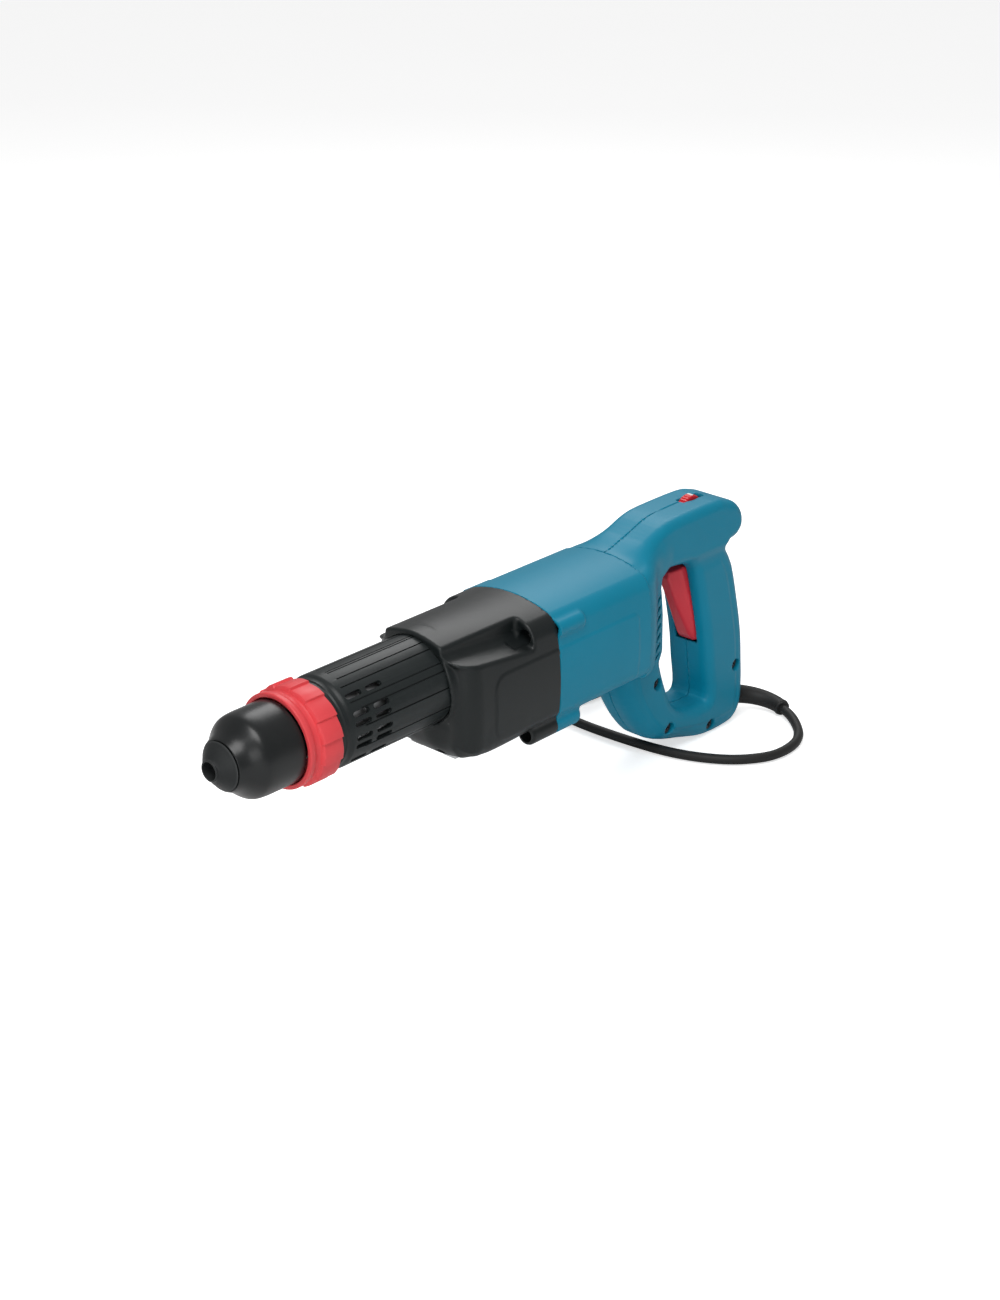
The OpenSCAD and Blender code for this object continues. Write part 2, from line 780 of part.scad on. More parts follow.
module handle_shell() {
    difference() {
        union() {
            slab(-grip_w, grip_w) difference() {
                handle_outline();
                handle_window();
            }
            intersection() {
                slab(-hump_w, hump_w) handle_outline();
                translate([x_mend, -hump_w, 4]) cube([handle_l + 1, 2 * hump_w, hump_top]);
            }
            flare(grip_w, 0);
        }
        difference() {
            union() {
                slab(-grip_w + wall, grip_w - wall) offset(delta = -wall) difference() {
                    handle_outline();
                    handle_window();
                }
                intersection() {
                    translate([x_mend - cut, 0, 0]) flare(grip_w - wall, wall);
                    slab(-body_w, body_w) offset(delta = -wall) difference() {
                        union() {
                            handle_outline();
                            translate([x_mend - 10, -body_low]) square([20, body_low + body_top]);
                        }
                        handle_window();
                    }
                }
            }
            for (p = handle_holes) bar(p[0], p[1], 5.5, 2 * grip_w);
        }
        intersection() {
            slab(-body_w, body_w) handle_window();
            translate([x_mend, -body_w, -handle_low]) cube([handle_l, 2 * body_w, handle_low + hump_top]);
        }
        // Slot for the speed dial
        translate([dial_x - 10, -dial_w / 2 - gap, hump_top - 16]) cube([20, dial_w + 2 * gap, 20]);
        // Slot for the trigger
        translate([pivot[0] - 34, -9.3, pivot[1] - 6]) cube([34, 18.6, 67]);
        // Hole for the cord guard
        rod(x_rear - 14, 20, guard_r + gap, 0, exit_z);
        // Bores for the trigger pin and the screws
        bar(pivot[0], pivot[1], 2, 2 * grip_w - 4);
        for (p = handle_holes) {
            bar(p[0], p[1], screw_r, 2 * grip_w - 8);
            bar(p[0], p[1], screw_head_r, screw_head_deep + cut, -grip_w - cut);
        }
    }
}

module handle_left() {
    color(blue) intersection() {
        handle_shell();
        translate([x_mend, -body_w, -handle_low]) cube([handle_l, body_w, handle_low + hump_top]);
    }
}

module handle_right() {
    color(blue) intersection() {
        handle_shell();
        translate([x_mend, 0, -handle_low]) cube([handle_l, body_w, handle_low + hump_top]);
    }
}

module handle_screws() {
    color(steel) for (p = handle_holes) {
        bar(p[0], p[1], screw_r - 0.1, 2 * grip_w - 12, -grip_w + 6);
        bar(p[0], p[1], screw_head_r - 0.4, 3, -grip_w + screw_head_deep - 3);
    }
}

module trigger() {
    x = pivot[0];
    z = pivot[1];
    color(red) difference() {
        slab(-9, 9) polygon([
            [x - 32, z + 50], [x - 31, z + 53], [x - 20, z + 57], [x - 13, z + 55], [x - 5, z + 26],
            [x + 3, z + 5], [x + 3, z - 3], [x - 3, z - 4.5], [x - 7, z], [x - 20, z + 26]
        ]);
        bar(x, z, 2 + run_fit, 30);
    }
}

module trigger_pin() {
    color(steel) bar(pivot[0], pivot[1], 2, 2 * grip_w - 8);
}

module trigger_spring() {
    color(steel) spring(pivot[0] - 9, 12, 2.4, 0.4, 5, 0, pivot[1] + 42);
}

module switch_body() {
    color(black) difference() {
        translate([x_rear - 29, 0, pivot[1] + 28]) rotate([0, -grip_lean, 0])
            translate([-7, -10, -16]) cube([14, 20, 34]);
        rod(x_rear - 45, 20 + plunger_travel, plunger_r + run_fit, 0, plunger_z);
    }
}

module switch_plunger() {
    color(rubber) rod(pivot[0] - 3.4, 9.4 + plunger_travel, plunger_r, 0, plunger_z);
}

module speed_dial() {
    color(red) union() {
        bar(dial_x, dial_z, dial_r, dial_w);
        bar(dial_x, dial_z, 2, dial_w + 8);
    }
}

module speed_module() {
    color(black) difference() {
        translate([dial_x - 14, -12, dial_z - 17]) cube([26, 24, 19]);
        translate([dial_x - 12, -dial_w / 2 - gap, dial_z - 12]) cube([24, dial_w + 2 * gap, 30]);
        bar(dial_x, dial_z, 2 + run_fit, 20);
    }
}

// ---- Cord ----

module cord_clamp() {
    color(black) translate([x_rear - 26, -8, exit_z + cord_r + 1]) cube([8, 16, 4]);
}

module cord_guard() {
    rows = len(guard_path) - 1;
    color(rubber) union() {
        rod(x_rear - 12, 8, guard_r, 0, exit_z);
        rod(x_rear - 15, 3.2, guard_r + 1.8, 0, exit_z);
        sweep(guard_path, [for (i = [0 : rows]) guard_r + (guard_end_r - guard_r) * i / rows], 12);
    }
}

module power_cord() {
    path = [for (p = route) [guard_end[0] + p[0], guard_end[1] + p[1], p[2] - handle_low]];
    tail = [for (p = tail_route) [coil_centre[0] + p[0], coil_centre[1] + p[1], p[2] - handle_low]];
    color(rubber) {
        sweep(path, cord_r, 10);
        sweep(tail, cord_r, 10);
    }
}

module cord_coil() {
    color(rubber) translate([coil_centre[0], coil_centre[1], tie_wall - handle_low]) rotate_extrude()
        translate([coil_mean_r - coil_side / 2, 0]) square([coil_side, coil_side]);
}

module cord_tie() {
    color(black)
        translate([coil_centre[0] + coil_mean_r, coil_centre[1], tie_wall + coil_side / 2 - handle_low])
        difference() {
            cube([coil_side + 0.5 + 2 * tie_wall, 6, coil_side + 2 * tie_wall], center = true);
            cube([coil_side + 0.5, 8, coil_side], center = true);
        }
}

module plug_body() {
    color(black) rod(plug_at[0], plug_l, 10, plug_at[1], plug_at[2]);
}

module plug_pins() {
    color(steel) for (side = [-1, 1])
        rod(plug_at[0] + plug_l, 19, 2.4, plug_at[1] + side * 9.5, plug_at[2]);
}

place() nose_boot();
place() chuck_cover();
place() cover_spring();
place() ball_guide_ring();
place() lock_ball_left();
place() lock_ball_right();
place() tool_holder();
place() change_ring();
place() ring_spring();
place() dust_seal();
place() holder_bush();
place() barrel_sleeve();
place() barrel_housing();
place() cylinder_tube();
place() bolt_bush();
place() impact_bolt();
place() striker();
place() striker_o_ring();
place() piston_cylinder();
place() piston_pin();
place() gear_cover();
place() front_bracket();
place() inner_housing();
place() swash_shaft();
place() drive_gear();
place() swash_ring();
place() shaft_bearings();
place() armature_shaft();
place() armature_core();
place() commutator();
place() cooling_fan();
place() armature_bearings();
place() stator_core();
place() field_coils();
place() fan_baffle();
place() brush_holders();
place() carbon_brushes();
place() brush_springs();
place() motor_housing();
place() housing_screws();
place() chin_screws();
place() handle_left();
place() handle_right();
place() handle_screws();
place() trigger();
place() trigger_pin();
place() trigger_spring();
place() switch_body();
place() switch_plunger();
place() speed_dial();
place() speed_module();
place() cord_clamp();
place() cord_guard();
place() power_cord();
place() cord_coil();
place() cord_tie();
place() plug_body();
place() plug_pins();
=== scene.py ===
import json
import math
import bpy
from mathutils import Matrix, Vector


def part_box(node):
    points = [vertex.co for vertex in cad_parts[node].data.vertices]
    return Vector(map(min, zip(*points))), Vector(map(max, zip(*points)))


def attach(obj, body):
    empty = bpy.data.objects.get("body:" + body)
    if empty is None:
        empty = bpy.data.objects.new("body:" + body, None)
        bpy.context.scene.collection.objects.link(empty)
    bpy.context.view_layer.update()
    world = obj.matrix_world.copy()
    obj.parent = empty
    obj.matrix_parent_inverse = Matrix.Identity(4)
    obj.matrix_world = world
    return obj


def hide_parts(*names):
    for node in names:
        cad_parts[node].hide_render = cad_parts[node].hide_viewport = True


bl_info = {
    "name": "Demolition Hammer",
    "version": (1, 0, 0),
    "blender": (4, 5, 0),
    "location": "View3D > Sidebar > Hammer",
    "description": "Builds the housings, chuck, handle, cord and finishes of a demolition hammer",
    "category": "Add Mesh",
}

import bmesh
import bpy
import numpy as np
from mathutils import Vector

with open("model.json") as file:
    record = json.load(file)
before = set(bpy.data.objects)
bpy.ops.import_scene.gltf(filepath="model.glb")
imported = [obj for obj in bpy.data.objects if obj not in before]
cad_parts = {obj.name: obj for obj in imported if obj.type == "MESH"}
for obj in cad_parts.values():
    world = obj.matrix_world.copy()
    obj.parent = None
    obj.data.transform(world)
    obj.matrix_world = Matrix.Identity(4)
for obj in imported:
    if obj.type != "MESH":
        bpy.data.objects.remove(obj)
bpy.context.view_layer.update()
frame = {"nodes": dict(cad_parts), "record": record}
NODES = frame["nodes"]
SLOTS = {part["node"]: part["material_slot"] for part in frame["record"]["subparts"]}

# ---- Stations, in millimetres behind the nose tip, above and beside the hammer axis ----

MM = 0.001
NOSE_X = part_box("nose_boot")[0].x
AXIS_Z = (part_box("chuck_cover")[0].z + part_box("chuck_cover")[1].z) / 2


def span(node, axis=0):
    """Lowest and highest place of a CAD node along one axis, in millimetres from the nose tip."""
    origin = (NOSE_X, 0, AXIS_Z)[axis]
    low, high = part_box(node)
    return (low[axis] - origin) / MM, (high[axis] - origin) / MM


def middle(node, axis=0):
    """Middle of a CAD node along one axis."""
    return sum(span(node, axis)) / 2


def place(points):
    """Tool coordinates in millimetres to the row frame in metres."""
    return np.asarray(points, float) * MM + np.array([NOSE_X, 0, AXIS_Z])


X_CUP = span("chuck_cover")[0]
X_RIM = span("chuck_cover")[1]
X_RING, X_RING_END = span("change_ring")
X_COLLAR = span("barrel_sleeve")[0]
X_BARREL = X_COLLAR + 8
X_SEAM, X_MEND = span("motor_housing")
X_COVER = X_SEAM - 86
X_REAR = span("handle_left")[1]
FLOOR = span("cord_tie", 2)[0]
CUP_R = span("chuck_cover", 2)[1]
RING_R = span("change_ring", 2)[1]
BARREL_R = span("barrel_sleeve", 2)[1]
BOTTOM = span("motor_housing", 2)[0] + 7
CHIN = span("gear_cover", 2)[0]
HUMP = span("handle_left", 2)[1]
GRIP_W = 19.0
HUMP_W = 21.0
WALL = 3.0
SHUT_LINE = 0.12
ROUND = 96
LUG_Y, LUG_R = 34.0, 7.0
WELL_R = 4.8
CHIN_SCREW_Y = 14.0
GUARD_Z = span("cord_guard", 2)[1] - 9.3
CORD_D = 7.0


# ---- Settings ----


class HammerFinish(bpy.types.PropertyGroup):
    """Colours of the moulded, painted and rubber pieces"""

    def colour(label, what, value):
        return bpy.props.FloatVectorProperty(
            name=label, description=what, subtype="COLOR", size=3, min=0, max=1, default=value
        )

    housing: colour("Housing", "Motor housing and handle mouldings", (0.0, 0.212, 0.335))
    cover: colour("Cover", "Gear cover and barrel sleeve", (0.006, 0.009, 0.0095))
    chuck: colour("Chuck", "Lacquered chuck cover", (0.006, 0.0075, 0.008))
    ring: colour("Ring", "Change ring", (0.72, 0.06, 0.07))
    trigger: colour("Trigger", "Trigger lever", (0.72, 0.035, 0.055))
    wheel: colour("Speed Wheel", "Knurled wheel in the handle", (0.62, 0.012, 0.02))
    cord: colour("Cord", "Cord, strain relief and plug", (0.012, 0.012, 0.012))
    floor: colour("Floor", "Studio floor", (0.86, 0.86, 0.86))


class HammerSizes(bpy.types.PropertyGroup):
    """Sizes that change the look without changing the frame"""

    detail: bpy.props.FloatProperty(
        name="Detail", description="Spacing of the points on the mouldings, in millimetres",
        default=1.0, min=0.7, max=3.0
    )
    panel_step: bpy.props.FloatProperty(
        name="Panel Step", description="Height of the raised side panels, in millimetres",
        default=0.55, min=0.0, max=1.5
    )
    groove: bpy.props.FloatProperty(
        name="Groove", description="Width of the grooves along the barrel, in millimetres",
        default=0.9, min=0.3, max=2.0
    )
    grips: bpy.props.IntProperty(
        name="Grips", description="Steps around the change ring", default=14, min=6, max=30
    )


def finish():
    """The colours set in the panel."""
    return bpy.context.scene.hammer_finish


def sizes():
    """The sizes set in the panel."""
    return bpy.context.scene.hammer_sizes


# ---- Solid shapes as distance fields: negative inside, in millimetres ----


def rounded(a, b, r):
    """Where both a and b hold, with the edge between them rounded to radius r."""
    return np.minimum(np.maximum(a, b) + r, 0) + np.hypot(np.maximum(a + r, 0), np.maximum(b + r, 0)) - r


def joined(a, b, r):
    """Either a or b, with a fillet of radius r."""
    return -rounded(-a, -b, r)


def without(a, b, r):
    """a with b taken out of it."""
    return rounded(a, -b, r)


def ease(t):
    t = np.clip(t, 0, 1)
    return t * t * (3 - 2 * t)


def outline(points, u, v):
    """Signed distance to a closed outline."""
    best = np.full(np.broadcast(u, v).shape, 1e9, np.float32)
    side = np.ones_like(best)
    for (u0, v0), (u1, v1) in zip(points, points[1:] + points[:1]):
        eu, ev = u1 - u0, v1 - v0
        du, dv = u - u0, v - v0
        t = np.clip((du * eu + dv * ev) / (eu * eu + ev * ev), 0, 1)
        best = np.minimum(best, (du - t * eu) ** 2 + (dv - t * ev) ** 2)
        above, below = v >= v0, v < v1
        left = eu * dv > ev * du
        flip = (above & below & left) | (~above & ~below & ~left)
        side = np.where(flip, -side, side)
    return side * np.sqrt(best)


def between(a, b, c, d, t):
    """The point at t on the smooth curve from b to c, with a before it and d after it."""
    curve = (2 * a - 5 * b + 4 * c - d) * t * t
    return 0.5 * (2 * b + (c - a) * t + curve + (3 * b - a - 3 * c + d) * t ** 3)


def curved(points, steps=3):
    """A closed outline with a smooth curve through its corners."""
    p = np.asarray(points, float)
    around = [np.roll(p, k, 0) for k in (1, 0, -1, -2)]
    rows = [between(*around, t) for t in np.linspace(0, 1, steps, endpoint=False)]
    return [tuple(q) for q in np.stack(rows, 1).reshape(-1, 2)]


def smooth_line(points, steps):
    """A curve through every point, with steps pieces between neighbours."""
    p = np.asarray(points, float)
    p = np.concatenate([[2 * p[0] - p[1]], p, [2 * p[-1] - p[-2]]])
    shares = np.linspace(0, 1, steps, endpoint=False)
    return np.array([between(*p[i - 1: i + 3], t) for i in range(1, len(p) - 2) for t in shares] + [p[-2]])


def surface(shape, low, high, pitch):
    """Points and four-cornered faces on the surface of a distance field."""
    axes = [np.arange(a - 2 * pitch, b + 2.5 * pitch, pitch) for a, b in zip(low, high)]
    grid = np.meshgrid(*axes, indexing="ij", sparse=True)
    f = np.array(np.broadcast_to(shape(*grid), [len(a) for a in axes]), np.float32)
    for edge in (0, -1):
        f[edge], f[:, edge], f[:, :, edge] = pitch, pitch, pitch
    inside = f < 0
    cells = tuple(n - 1 for n in f.shape)
    corners = [(i, j, k) for i in (0, 1) for j in (0, 1) for k in (0, 1)]

    def at(field, corner):
        return field[tuple(slice(c, c + n) for c, n in zip(corner, cells))]

    count = sum(at(inside, c).astype(np.int8) for c in corners)
    mixed = (count > 0) & (count < 8)
    ids = np.full(cells, -1, np.int64)
    ids[mixed] = np.arange(mixed.sum())
    total = np.zeros((mixed.sum(), 3))
    hits = np.zeros(mixed.sum())
    for a in corners:
        for d in range(3):
            if a[d]:
                continue
            b = tuple(c + (d == i) for i, c in enumerate(a))
            fa, fb = at(f, a)[mixed], at(f, b)[mixed]
            crosses = (fa < 0) != (fb < 0)
            t = np.where(crosses, fa / np.where(fa == fb, 1, fa - fb), 0)
            point = np.tile(np.array(a, float), (len(t), 1))
            point[:, d] += t
            total += point * crosses[:, None]
            hits += crosses
    points = (np.argwhere(mixed) + total / hits[:, None]) * pitch + [a[0] for a in axes]
    faces = []
    for d in range(3):
        u, v = (d + 1) % 3, (d + 2) % 3
        a = np.moveaxis(inside, (d, u, v), (0, 1, 2))[:, 1:-1, 1:-1]
        w = np.moveaxis(ids, (d, u, v), (0, 1, 2))
        for here, there, order in ((a[:-1], a[1:], 1), (a[1:], a[:-1], -1)):
            i, j, k = np.nonzero(here & ~there)
            ring = [w[i, j, k], w[i, j + 1, k], w[i, j + 1, k + 1], w[i, j, k + 1]]
            faces.append(np.stack(ring[::order], 1))
    return settled(shape, points, pitch), np.concatenate(faces)


def settled(shape, points, pitch, rounds=3):
    """Moves the points onto the surface."""
    step = 0.15 * pitch
    for _ in range(rounds):
        x, y, z = points.T
        value = shape(x, y, z)
        slope = np.stack([
            shape(x + step, y, z) - shape(x - step, y, z),
            shape(x, y + step, z) - shape(x, y - step, z),
            shape(x, y, z + step) - shape(x, y, z - step),
        ], 1) / (2 * step)
        size = np.maximum(np.sum(slope ** 2, axis=1), 0.25)
        move = slope * (value / size)[:, None]
        length = np.linalg.norm(move, axis=1)
        points = points - move * np.minimum(1, 0.7 * pitch / np.maximum(length, 1e-9))[:, None]
    return points


# ---- Pieces ----


def linked(name, data):
    """A new object in the scene."""
    thing = bpy.data.objects.new(name, data)
    bpy.context.scene.collection.objects.link(thing)
    return thing


def bare_piece(name, points, faces=()):
    """An object without a finish; points are in tool coordinates."""
    mesh = bpy.data.meshes.new(name)
    points = place(points)
    if isinstance(faces, np.ndarray) and faces.ndim == 2:
        mesh.vertices.add(len(points))
        mesh.vertices.foreach_set("co", points.ravel())
        mesh.loops.add(faces.size)
        mesh.loops.foreach_set("vertex_index", faces.ravel().astype(np.int32))
        mesh.polygons.add(len(faces))
        mesh.polygons.foreach_set("loop_start", np.arange(0, faces.size, faces.shape[1], dtype=np.int32))
        mesh.update(calc_edges=True)
    else:
        mesh.from_pydata([tuple(p) for p in points], [], [list(f) for f in faces])
    mesh.validate()
    return linked(name, mesh)


def add_mesh(name, points, faces, body, slot, stands_for=(), angle=40, material=None):
    """A finished piece that rides on a CAD body."""
    return dress(bare_piece(name, points, faces), body, slot, stands_for, angle, material)


def dress(piece, body, slot, stands_for=(), angle=40, material=None):
    """Gives a piece its finish, its body and the CAD nodes it stands for."""
    mesh = piece.data
    mesh.materials.clear()
    mesh.materials.append(material or material_for(slot))
    mesh.shade_smooth()
    mesh.set_sharp_from_angle(angle=math.radians(angle))
    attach(piece, body)
    if stands_for:
        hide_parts(*stands_for)
    return piece


def made_plain(piece):
    """Puts what a piece's modifiers make in the place of its mesh."""
    bpy.context.view_layer.update()
    mesh = bpy.data.meshes.new_from_object(piece.evaluated_get(bpy.context.evaluated_depsgraph_get()))
    piece.modifiers.clear()
    piece.data = mesh
    mesh.polygons.foreach_set("material_index", [0] * len(mesh.polygons))


def moulding(name, shape, low, high, body, slot, stands_for, pitch=None):
    """A piece whose surface is that of a distance field."""
    points, faces = surface(shape, low, high, pitch or sizes().detail)
    return add_mesh(name, points, faces, body, slot, stands_for, 50)


def arc(centre, r, start, end, steps=6):
    """Points [x, r] on an arc, with angles in degrees from the axis."""
    for i in range(steps + 1):
        a = math.radians(start + (end - start) * i / steps)
        yield centre[0] + r * math.cos(a), centre[1] + r * math.sin(a)


def turned(profile, steps=ROUND, radius=None):
    """A closed profile of (x, r) points turned about the hammer axis; radius may vary r with the angle."""
    profile = list(profile)
    n = len(profile)
    points = []
    for k in range(steps):
        a = 2 * math.pi * k / steps
        for x, r in profile:
            q = radius(x, r, a) if radius else r
            points.append((x, q * math.cos(a), q * math.sin(a)))
    faces = []
    for k in range(steps):
        for i in range(n):
            j = (i + 1) % n
            m = (k + 1) % steps
            faces.append((k * n + i, k * n + j, m * n + j, m * n + i))
    points = np.array(points)
    return points, facing_out(points, np.array(faces))


def facing_out(points, faces):
    """Turns every face round if the closed shape is inside out."""
    a, b, c = (points[faces[:, i]] for i in (0, 1, 2))
    volume = np.einsum("ij,ij->i", a, np.cross(b, c)).sum()
    if faces.shape[1] == 4:
        d = points[faces[:, 3]]
        volume += np.einsum("ij,ij->i", a, np.cross(c, d)).sum()
    return faces if volume > 0 else faces[:, ::-1]


# ---- Shader groups ----


def group(name, inputs, outputs):
    """A shader group with number inputs, each with its value, and number outputs."""
    tree = bpy.data.node_groups.new(name, "ShaderNodeTree")
    for label, value in inputs.items():
        socket = tree.interface.new_socket(label, in_out="INPUT", socket_type="NodeSocketFloat")
        socket.default_value = value
    for label in outputs:
        tree.interface.new_socket(label, in_out="OUTPUT", socket_type="NodeSocketFloat")
    return tree, tree.nodes.new("NodeGroupInput"), tree.nodes.new("NodeGroupOutput")


def add_node(tree, kind, links=(), **values):
    """A node with its links and settings; a setting that starts with in_ is a socket's value."""
    node = tree.nodes.new(kind)
    for key, value in values.items():
        if key.startswith("in_"):
            node.inputs[key[3:]].default_value = value
        else:
            setattr(node, key, value)
    for socket, source in links:
        tree.links.new(source, node.inputs[socket])
    return node


def maths(tree, operation, a, b, clamp=False):
    """A sum or product of sources and plain numbers."""
    node = add_node(tree, "ShaderNodeMath", operation=operation, use_clamp=clamp)
    for socket, value in enumerate((a, b)):
        if isinstance(value, bpy.types.NodeSocket):
            tree.links.new(value, node.inputs[socket])
        else:
            node.inputs[socket].default_value = value
    return node.outputs[0]


def mix_colour(tree, factor, a, b):
    """A source's mix of two colours, of which the first may be a source too."""
    node = add_node(tree, "ShaderNodeMix", [(0, factor)], data_type="RGBA")
    for socket, value in ((6, a), (7, b)):
        if isinstance(value, bpy.types.NodeSocket):
            tree.links.new(value, node.inputs[socket])
        else:
            node.inputs[socket].default_value = (*value, 1)
    return node.outputs[2]


def noise(tree, scale, detail=2.0, roughness=0.5, along=None):
    """Cloudy noise on the piece's own place, or along a vector that is given."""
    along = along or add_node(tree, "ShaderNodeTexCoord").outputs["Object"]
    node = add_node(tree, "ShaderNodeTexNoise", [("Vector", along)], in_Detail=detail, in_Roughness=roughness)
    if isinstance(scale, bpy.types.NodeSocket):
        tree.links.new(scale, node.inputs["Scale"])
    else:
        node.inputs["Scale"].default_value = scale
    return node.outputs["Fac"]


def spark_texture():
    """Fine spark-eroded grain of a moulded surface, with slow waves of roughness."""
    tree, given, out = group("Spark Texture", {"Scale": 1500.0, "Depth": 1.0, "Sheen Change": 0.06},
                             ("Height", "Roughness Change"))
    height = maths(tree, "MULTIPLY", noise(tree, given.outputs["Scale"], 3.0), given.outputs["Depth"])
    centred = maths(tree, "SUBTRACT", noise(tree, 28.0, 4.0, 0.6), 0.5)
    change = maths(tree, "MULTIPLY", centred, given.outputs["Sheen Change"])
    tree.links.new(height, out.inputs["Height"])
    tree.links.new(change, out.inputs["Roughness Change"])
    return tree


def wear_and_edge_highlight():
    """Mask of sharp corners: scuffs from hands and benches, and on the gear cover and nose boot painted
    highlights along ridges and lips.
    """
    tree, given, out = group("Rubbed Edges", {"Sharpness": 0.53, "Amount": 0.5}, ("Mask",))
    edge = add_node(tree, "ShaderNodeNewGeometry").outputs["Pointiness"]
    above = add_node(tree, "ShaderNodeMapRange", [("Value", edge), ("From Min", given.outputs["Sharpness"])])
    above.inputs["From Max"].default_value = 0.62
    patchy = maths(tree, "MULTIPLY", above.outputs[0], noise(tree, 170.0, 5.0))
    mask = maths(tree, "MULTIPLY", patchy, given.outputs["Amount"], clamp=True)
    tree.links.new(mask, out.inputs["Mask"])
    return tree


def settled_dust():
    """Mask of the thin dust on faces that look up, and of faint smears."""
    tree, given, out = group("Settled Dust", {"Amount": 0.1}, ("Mask",))
    normal = add_node(tree, "ShaderNodeNewGeometry").outputs["Normal"]
    upwards = add_node(tree, "ShaderNodeSeparateXYZ", [(0, normal)]).outputs["Z"]
    facing = add_node(tree, "ShaderNodeMapRange", [("Value", upwards)])
    facing.inputs["From Min"].default_value = -0.2
    smeared = maths(tree, "MULTIPLY", facing.outputs[0], noise(tree, 55.0, 6.0, 0.65))
    mask = maths(tree, "MULTIPLY", smeared, given.outputs["Amount"])
    tree.links.new(mask, out.inputs["Mask"])
    return tree


GROUPS = {}
MATERIALS = {}
DUST = (0.42, 0.41, 0.4)
GRAIN_DEPTH = 0.00008


def groups():
    """The shader groups, built at the first call."""
    if not GROUPS:
        GROUPS.update(spark=spark_texture(), rubbed=wear_and_edge_highlight(), dust=settled_dust())
    return GROUPS


def finish_of(name, colour, roughness, grain, depth, worn_and_highlight, wear_and_highlight, dust, metallic=0.0, coat=0.0, brushed=False,
              shine=0.3):
    """A moulded, painted or metal finish with grain, edge scuffs (on some finishes painted edge highlights)
    and a trace of dust.
    """
    if name in MATERIALS:
        return MATERIALS[name]
    material = bpy.data.materials.new(name)
    material.use_nodes = True
    tree = material.node_tree
    tree.nodes.clear()
    spark, rubbed, settled_mask = (
        add_node(tree, "ShaderNodeGroup", node_tree=groups()[k]) for k in ("spark", "rubbed", "dust")
    )
    spark.inputs["Scale"].default_value = grain
    rubbed.inputs["Amount"].default_value = wear_and_highlight
    settled_mask.inputs["Amount"].default_value = dust
    darker, lighter = [c * 0.93 for c in colour], [min(1, c * 1.07) for c in colour]
    tinted = mix_colour(tree, noise(tree, 18.0, 3.0), darker, lighter)
    # Sharp edges take the edge colour: scuffs, and on the gear cover and nose boot a painted highlight.
    scuffed_and_highlit = mix_colour(tree, rubbed.outputs["Mask"], tinted, worn_and_highlight)
    dusted = mix_colour(tree, settled_mask.outputs["Mask"], scuffed_and_highlit, DUST)
    sheen = maths(tree, "ADD", spark.outputs["Roughness Change"], roughness, clamp=True)
    height = spark.outputs["Height"]
    if brushed:
        position = add_node(tree, "ShaderNodeTexCoord").outputs["Object"]
        stretched = add_node(tree, "ShaderNodeMapping", [("Vector", position)], in_Scale=(3000.0, 60.0, 60.0))
        height = maths(tree, "ADD", height, noise(tree, 1.0, along=stretched.outputs[0]))
    bump = add_node(tree, "ShaderNodeBump", [("Height", height)], in_Strength=10 * depth,
                    in_Distance=GRAIN_DEPTH)
    shader = add_node(tree, "ShaderNodeBsdfPrincipled", [
        ("Base Color", dusted), ("Roughness", sheen), ("Normal", bump.outputs[0])
    ], in_Metallic=metallic)
    shader.inputs["Specular IOR Level"].default_value = 0.5 if metallic else shine
    shader.inputs["Coat Weight"].default_value = coat
    shader.inputs["Coat Roughness"].default_value = 0.25
    out = add_node(tree, "ShaderNodeOutputMaterial", [("Surface", shader.outputs[0])])
    out.is_active_output = True
    MATERIALS[name] = material
    return material


# Setting and strength of the colour, roughness, grain, its depth, edge colour and edge amount (scuffs, and
# painted edge highlights on cover_black and boot_rubber), dust and anything more
FINISHES = {
    "housing_blue": ("housing", 1.0, 0.43, 1300, 0.03, (0.12, 0.34, 0.44), 0.16, 0.03, {"shine": 0.2}),
    # cover_black: the light edge colour and high edge amount paint highlights along the ridge, lip and boss
    # edges.
    "cover_black": ("cover", 1.0, 0.38, 1700, 0.06, (0.11, 0.12, 0.12), 0.55, 0.03, {}),
    "sleeve_black": ("cover", 1.25, 0.4, 1500, 0.04, (0.08, 0.09, 0.09), 0.3, 0.035, {}),
    "chuck_black": ("chuck", 1.0, 0.33, 2200, 0.03, (0.12, 0.12, 0.12), 0.25, 0.03, {"coat": 0.15}),
    # boot_rubber: the light edge colour and high edge amount paint a highlight on the nose lip and the other
    # sharp edges.
    "boot_rubber": ("chuck", 1.5, 0.5, 1800, 0.08, (0.17, 0.18, 0.18), 0.7, 0.05, {}),
    "ring_red": ("ring", 1.0, 0.42, 1500, 0.03, (0.75, 0.25, 0.24), 0.2, 0.03, {}),
    "trigger_red": ("trigger", 1.0, 0.32, 1800, 0.02, (0.6, 0.15, 0.15), 0.15, 0.02, {}),
    "dial_red": ("wheel", 1.0, 0.3, 1800, 0.02, (0.7, 0.2, 0.2), 0.15, 0.0, {}),
    "cord_rubber": ("cord", 1.0, 0.55, 2600, 0.05, (0.06, 0.06, 0.06), 0.1, 0.03, {}),
}
# Colour, roughness and metallic share
METALS = {
    "ground_steel": ((0.55, 0.56, 0.58), 0.28, 1.0),
    "spring_steel": ((0.38, 0.39, 0.41), 0.35, 1.0),
    "dark_steel": ((0.06, 0.06, 0.065), 0.42, 0.8),
    "cast_alloy": ((0.6, 0.61, 0.62), 0.42, 1.0),
    "bronze": ((0.5, 0.32, 0.14), 0.4, 1.0),
    "copper_wire": ((0.6, 0.24, 0.1), 0.35, 1.0),
    "plug_brass": ((0.62, 0.5, 0.3), 0.25, 1.0),
}
# Colour and roughness
PLAIN = {
    "carbon": ((0.03, 0.03, 0.03), 0.6),
    "seal_rubber": ((0.02, 0.02, 0.02), 0.6),
    "inner_plastic": ((0.03, 0.03, 0.032), 0.5),
    "plug_black": ((0.02, 0.02, 0.02), 0.4),
}


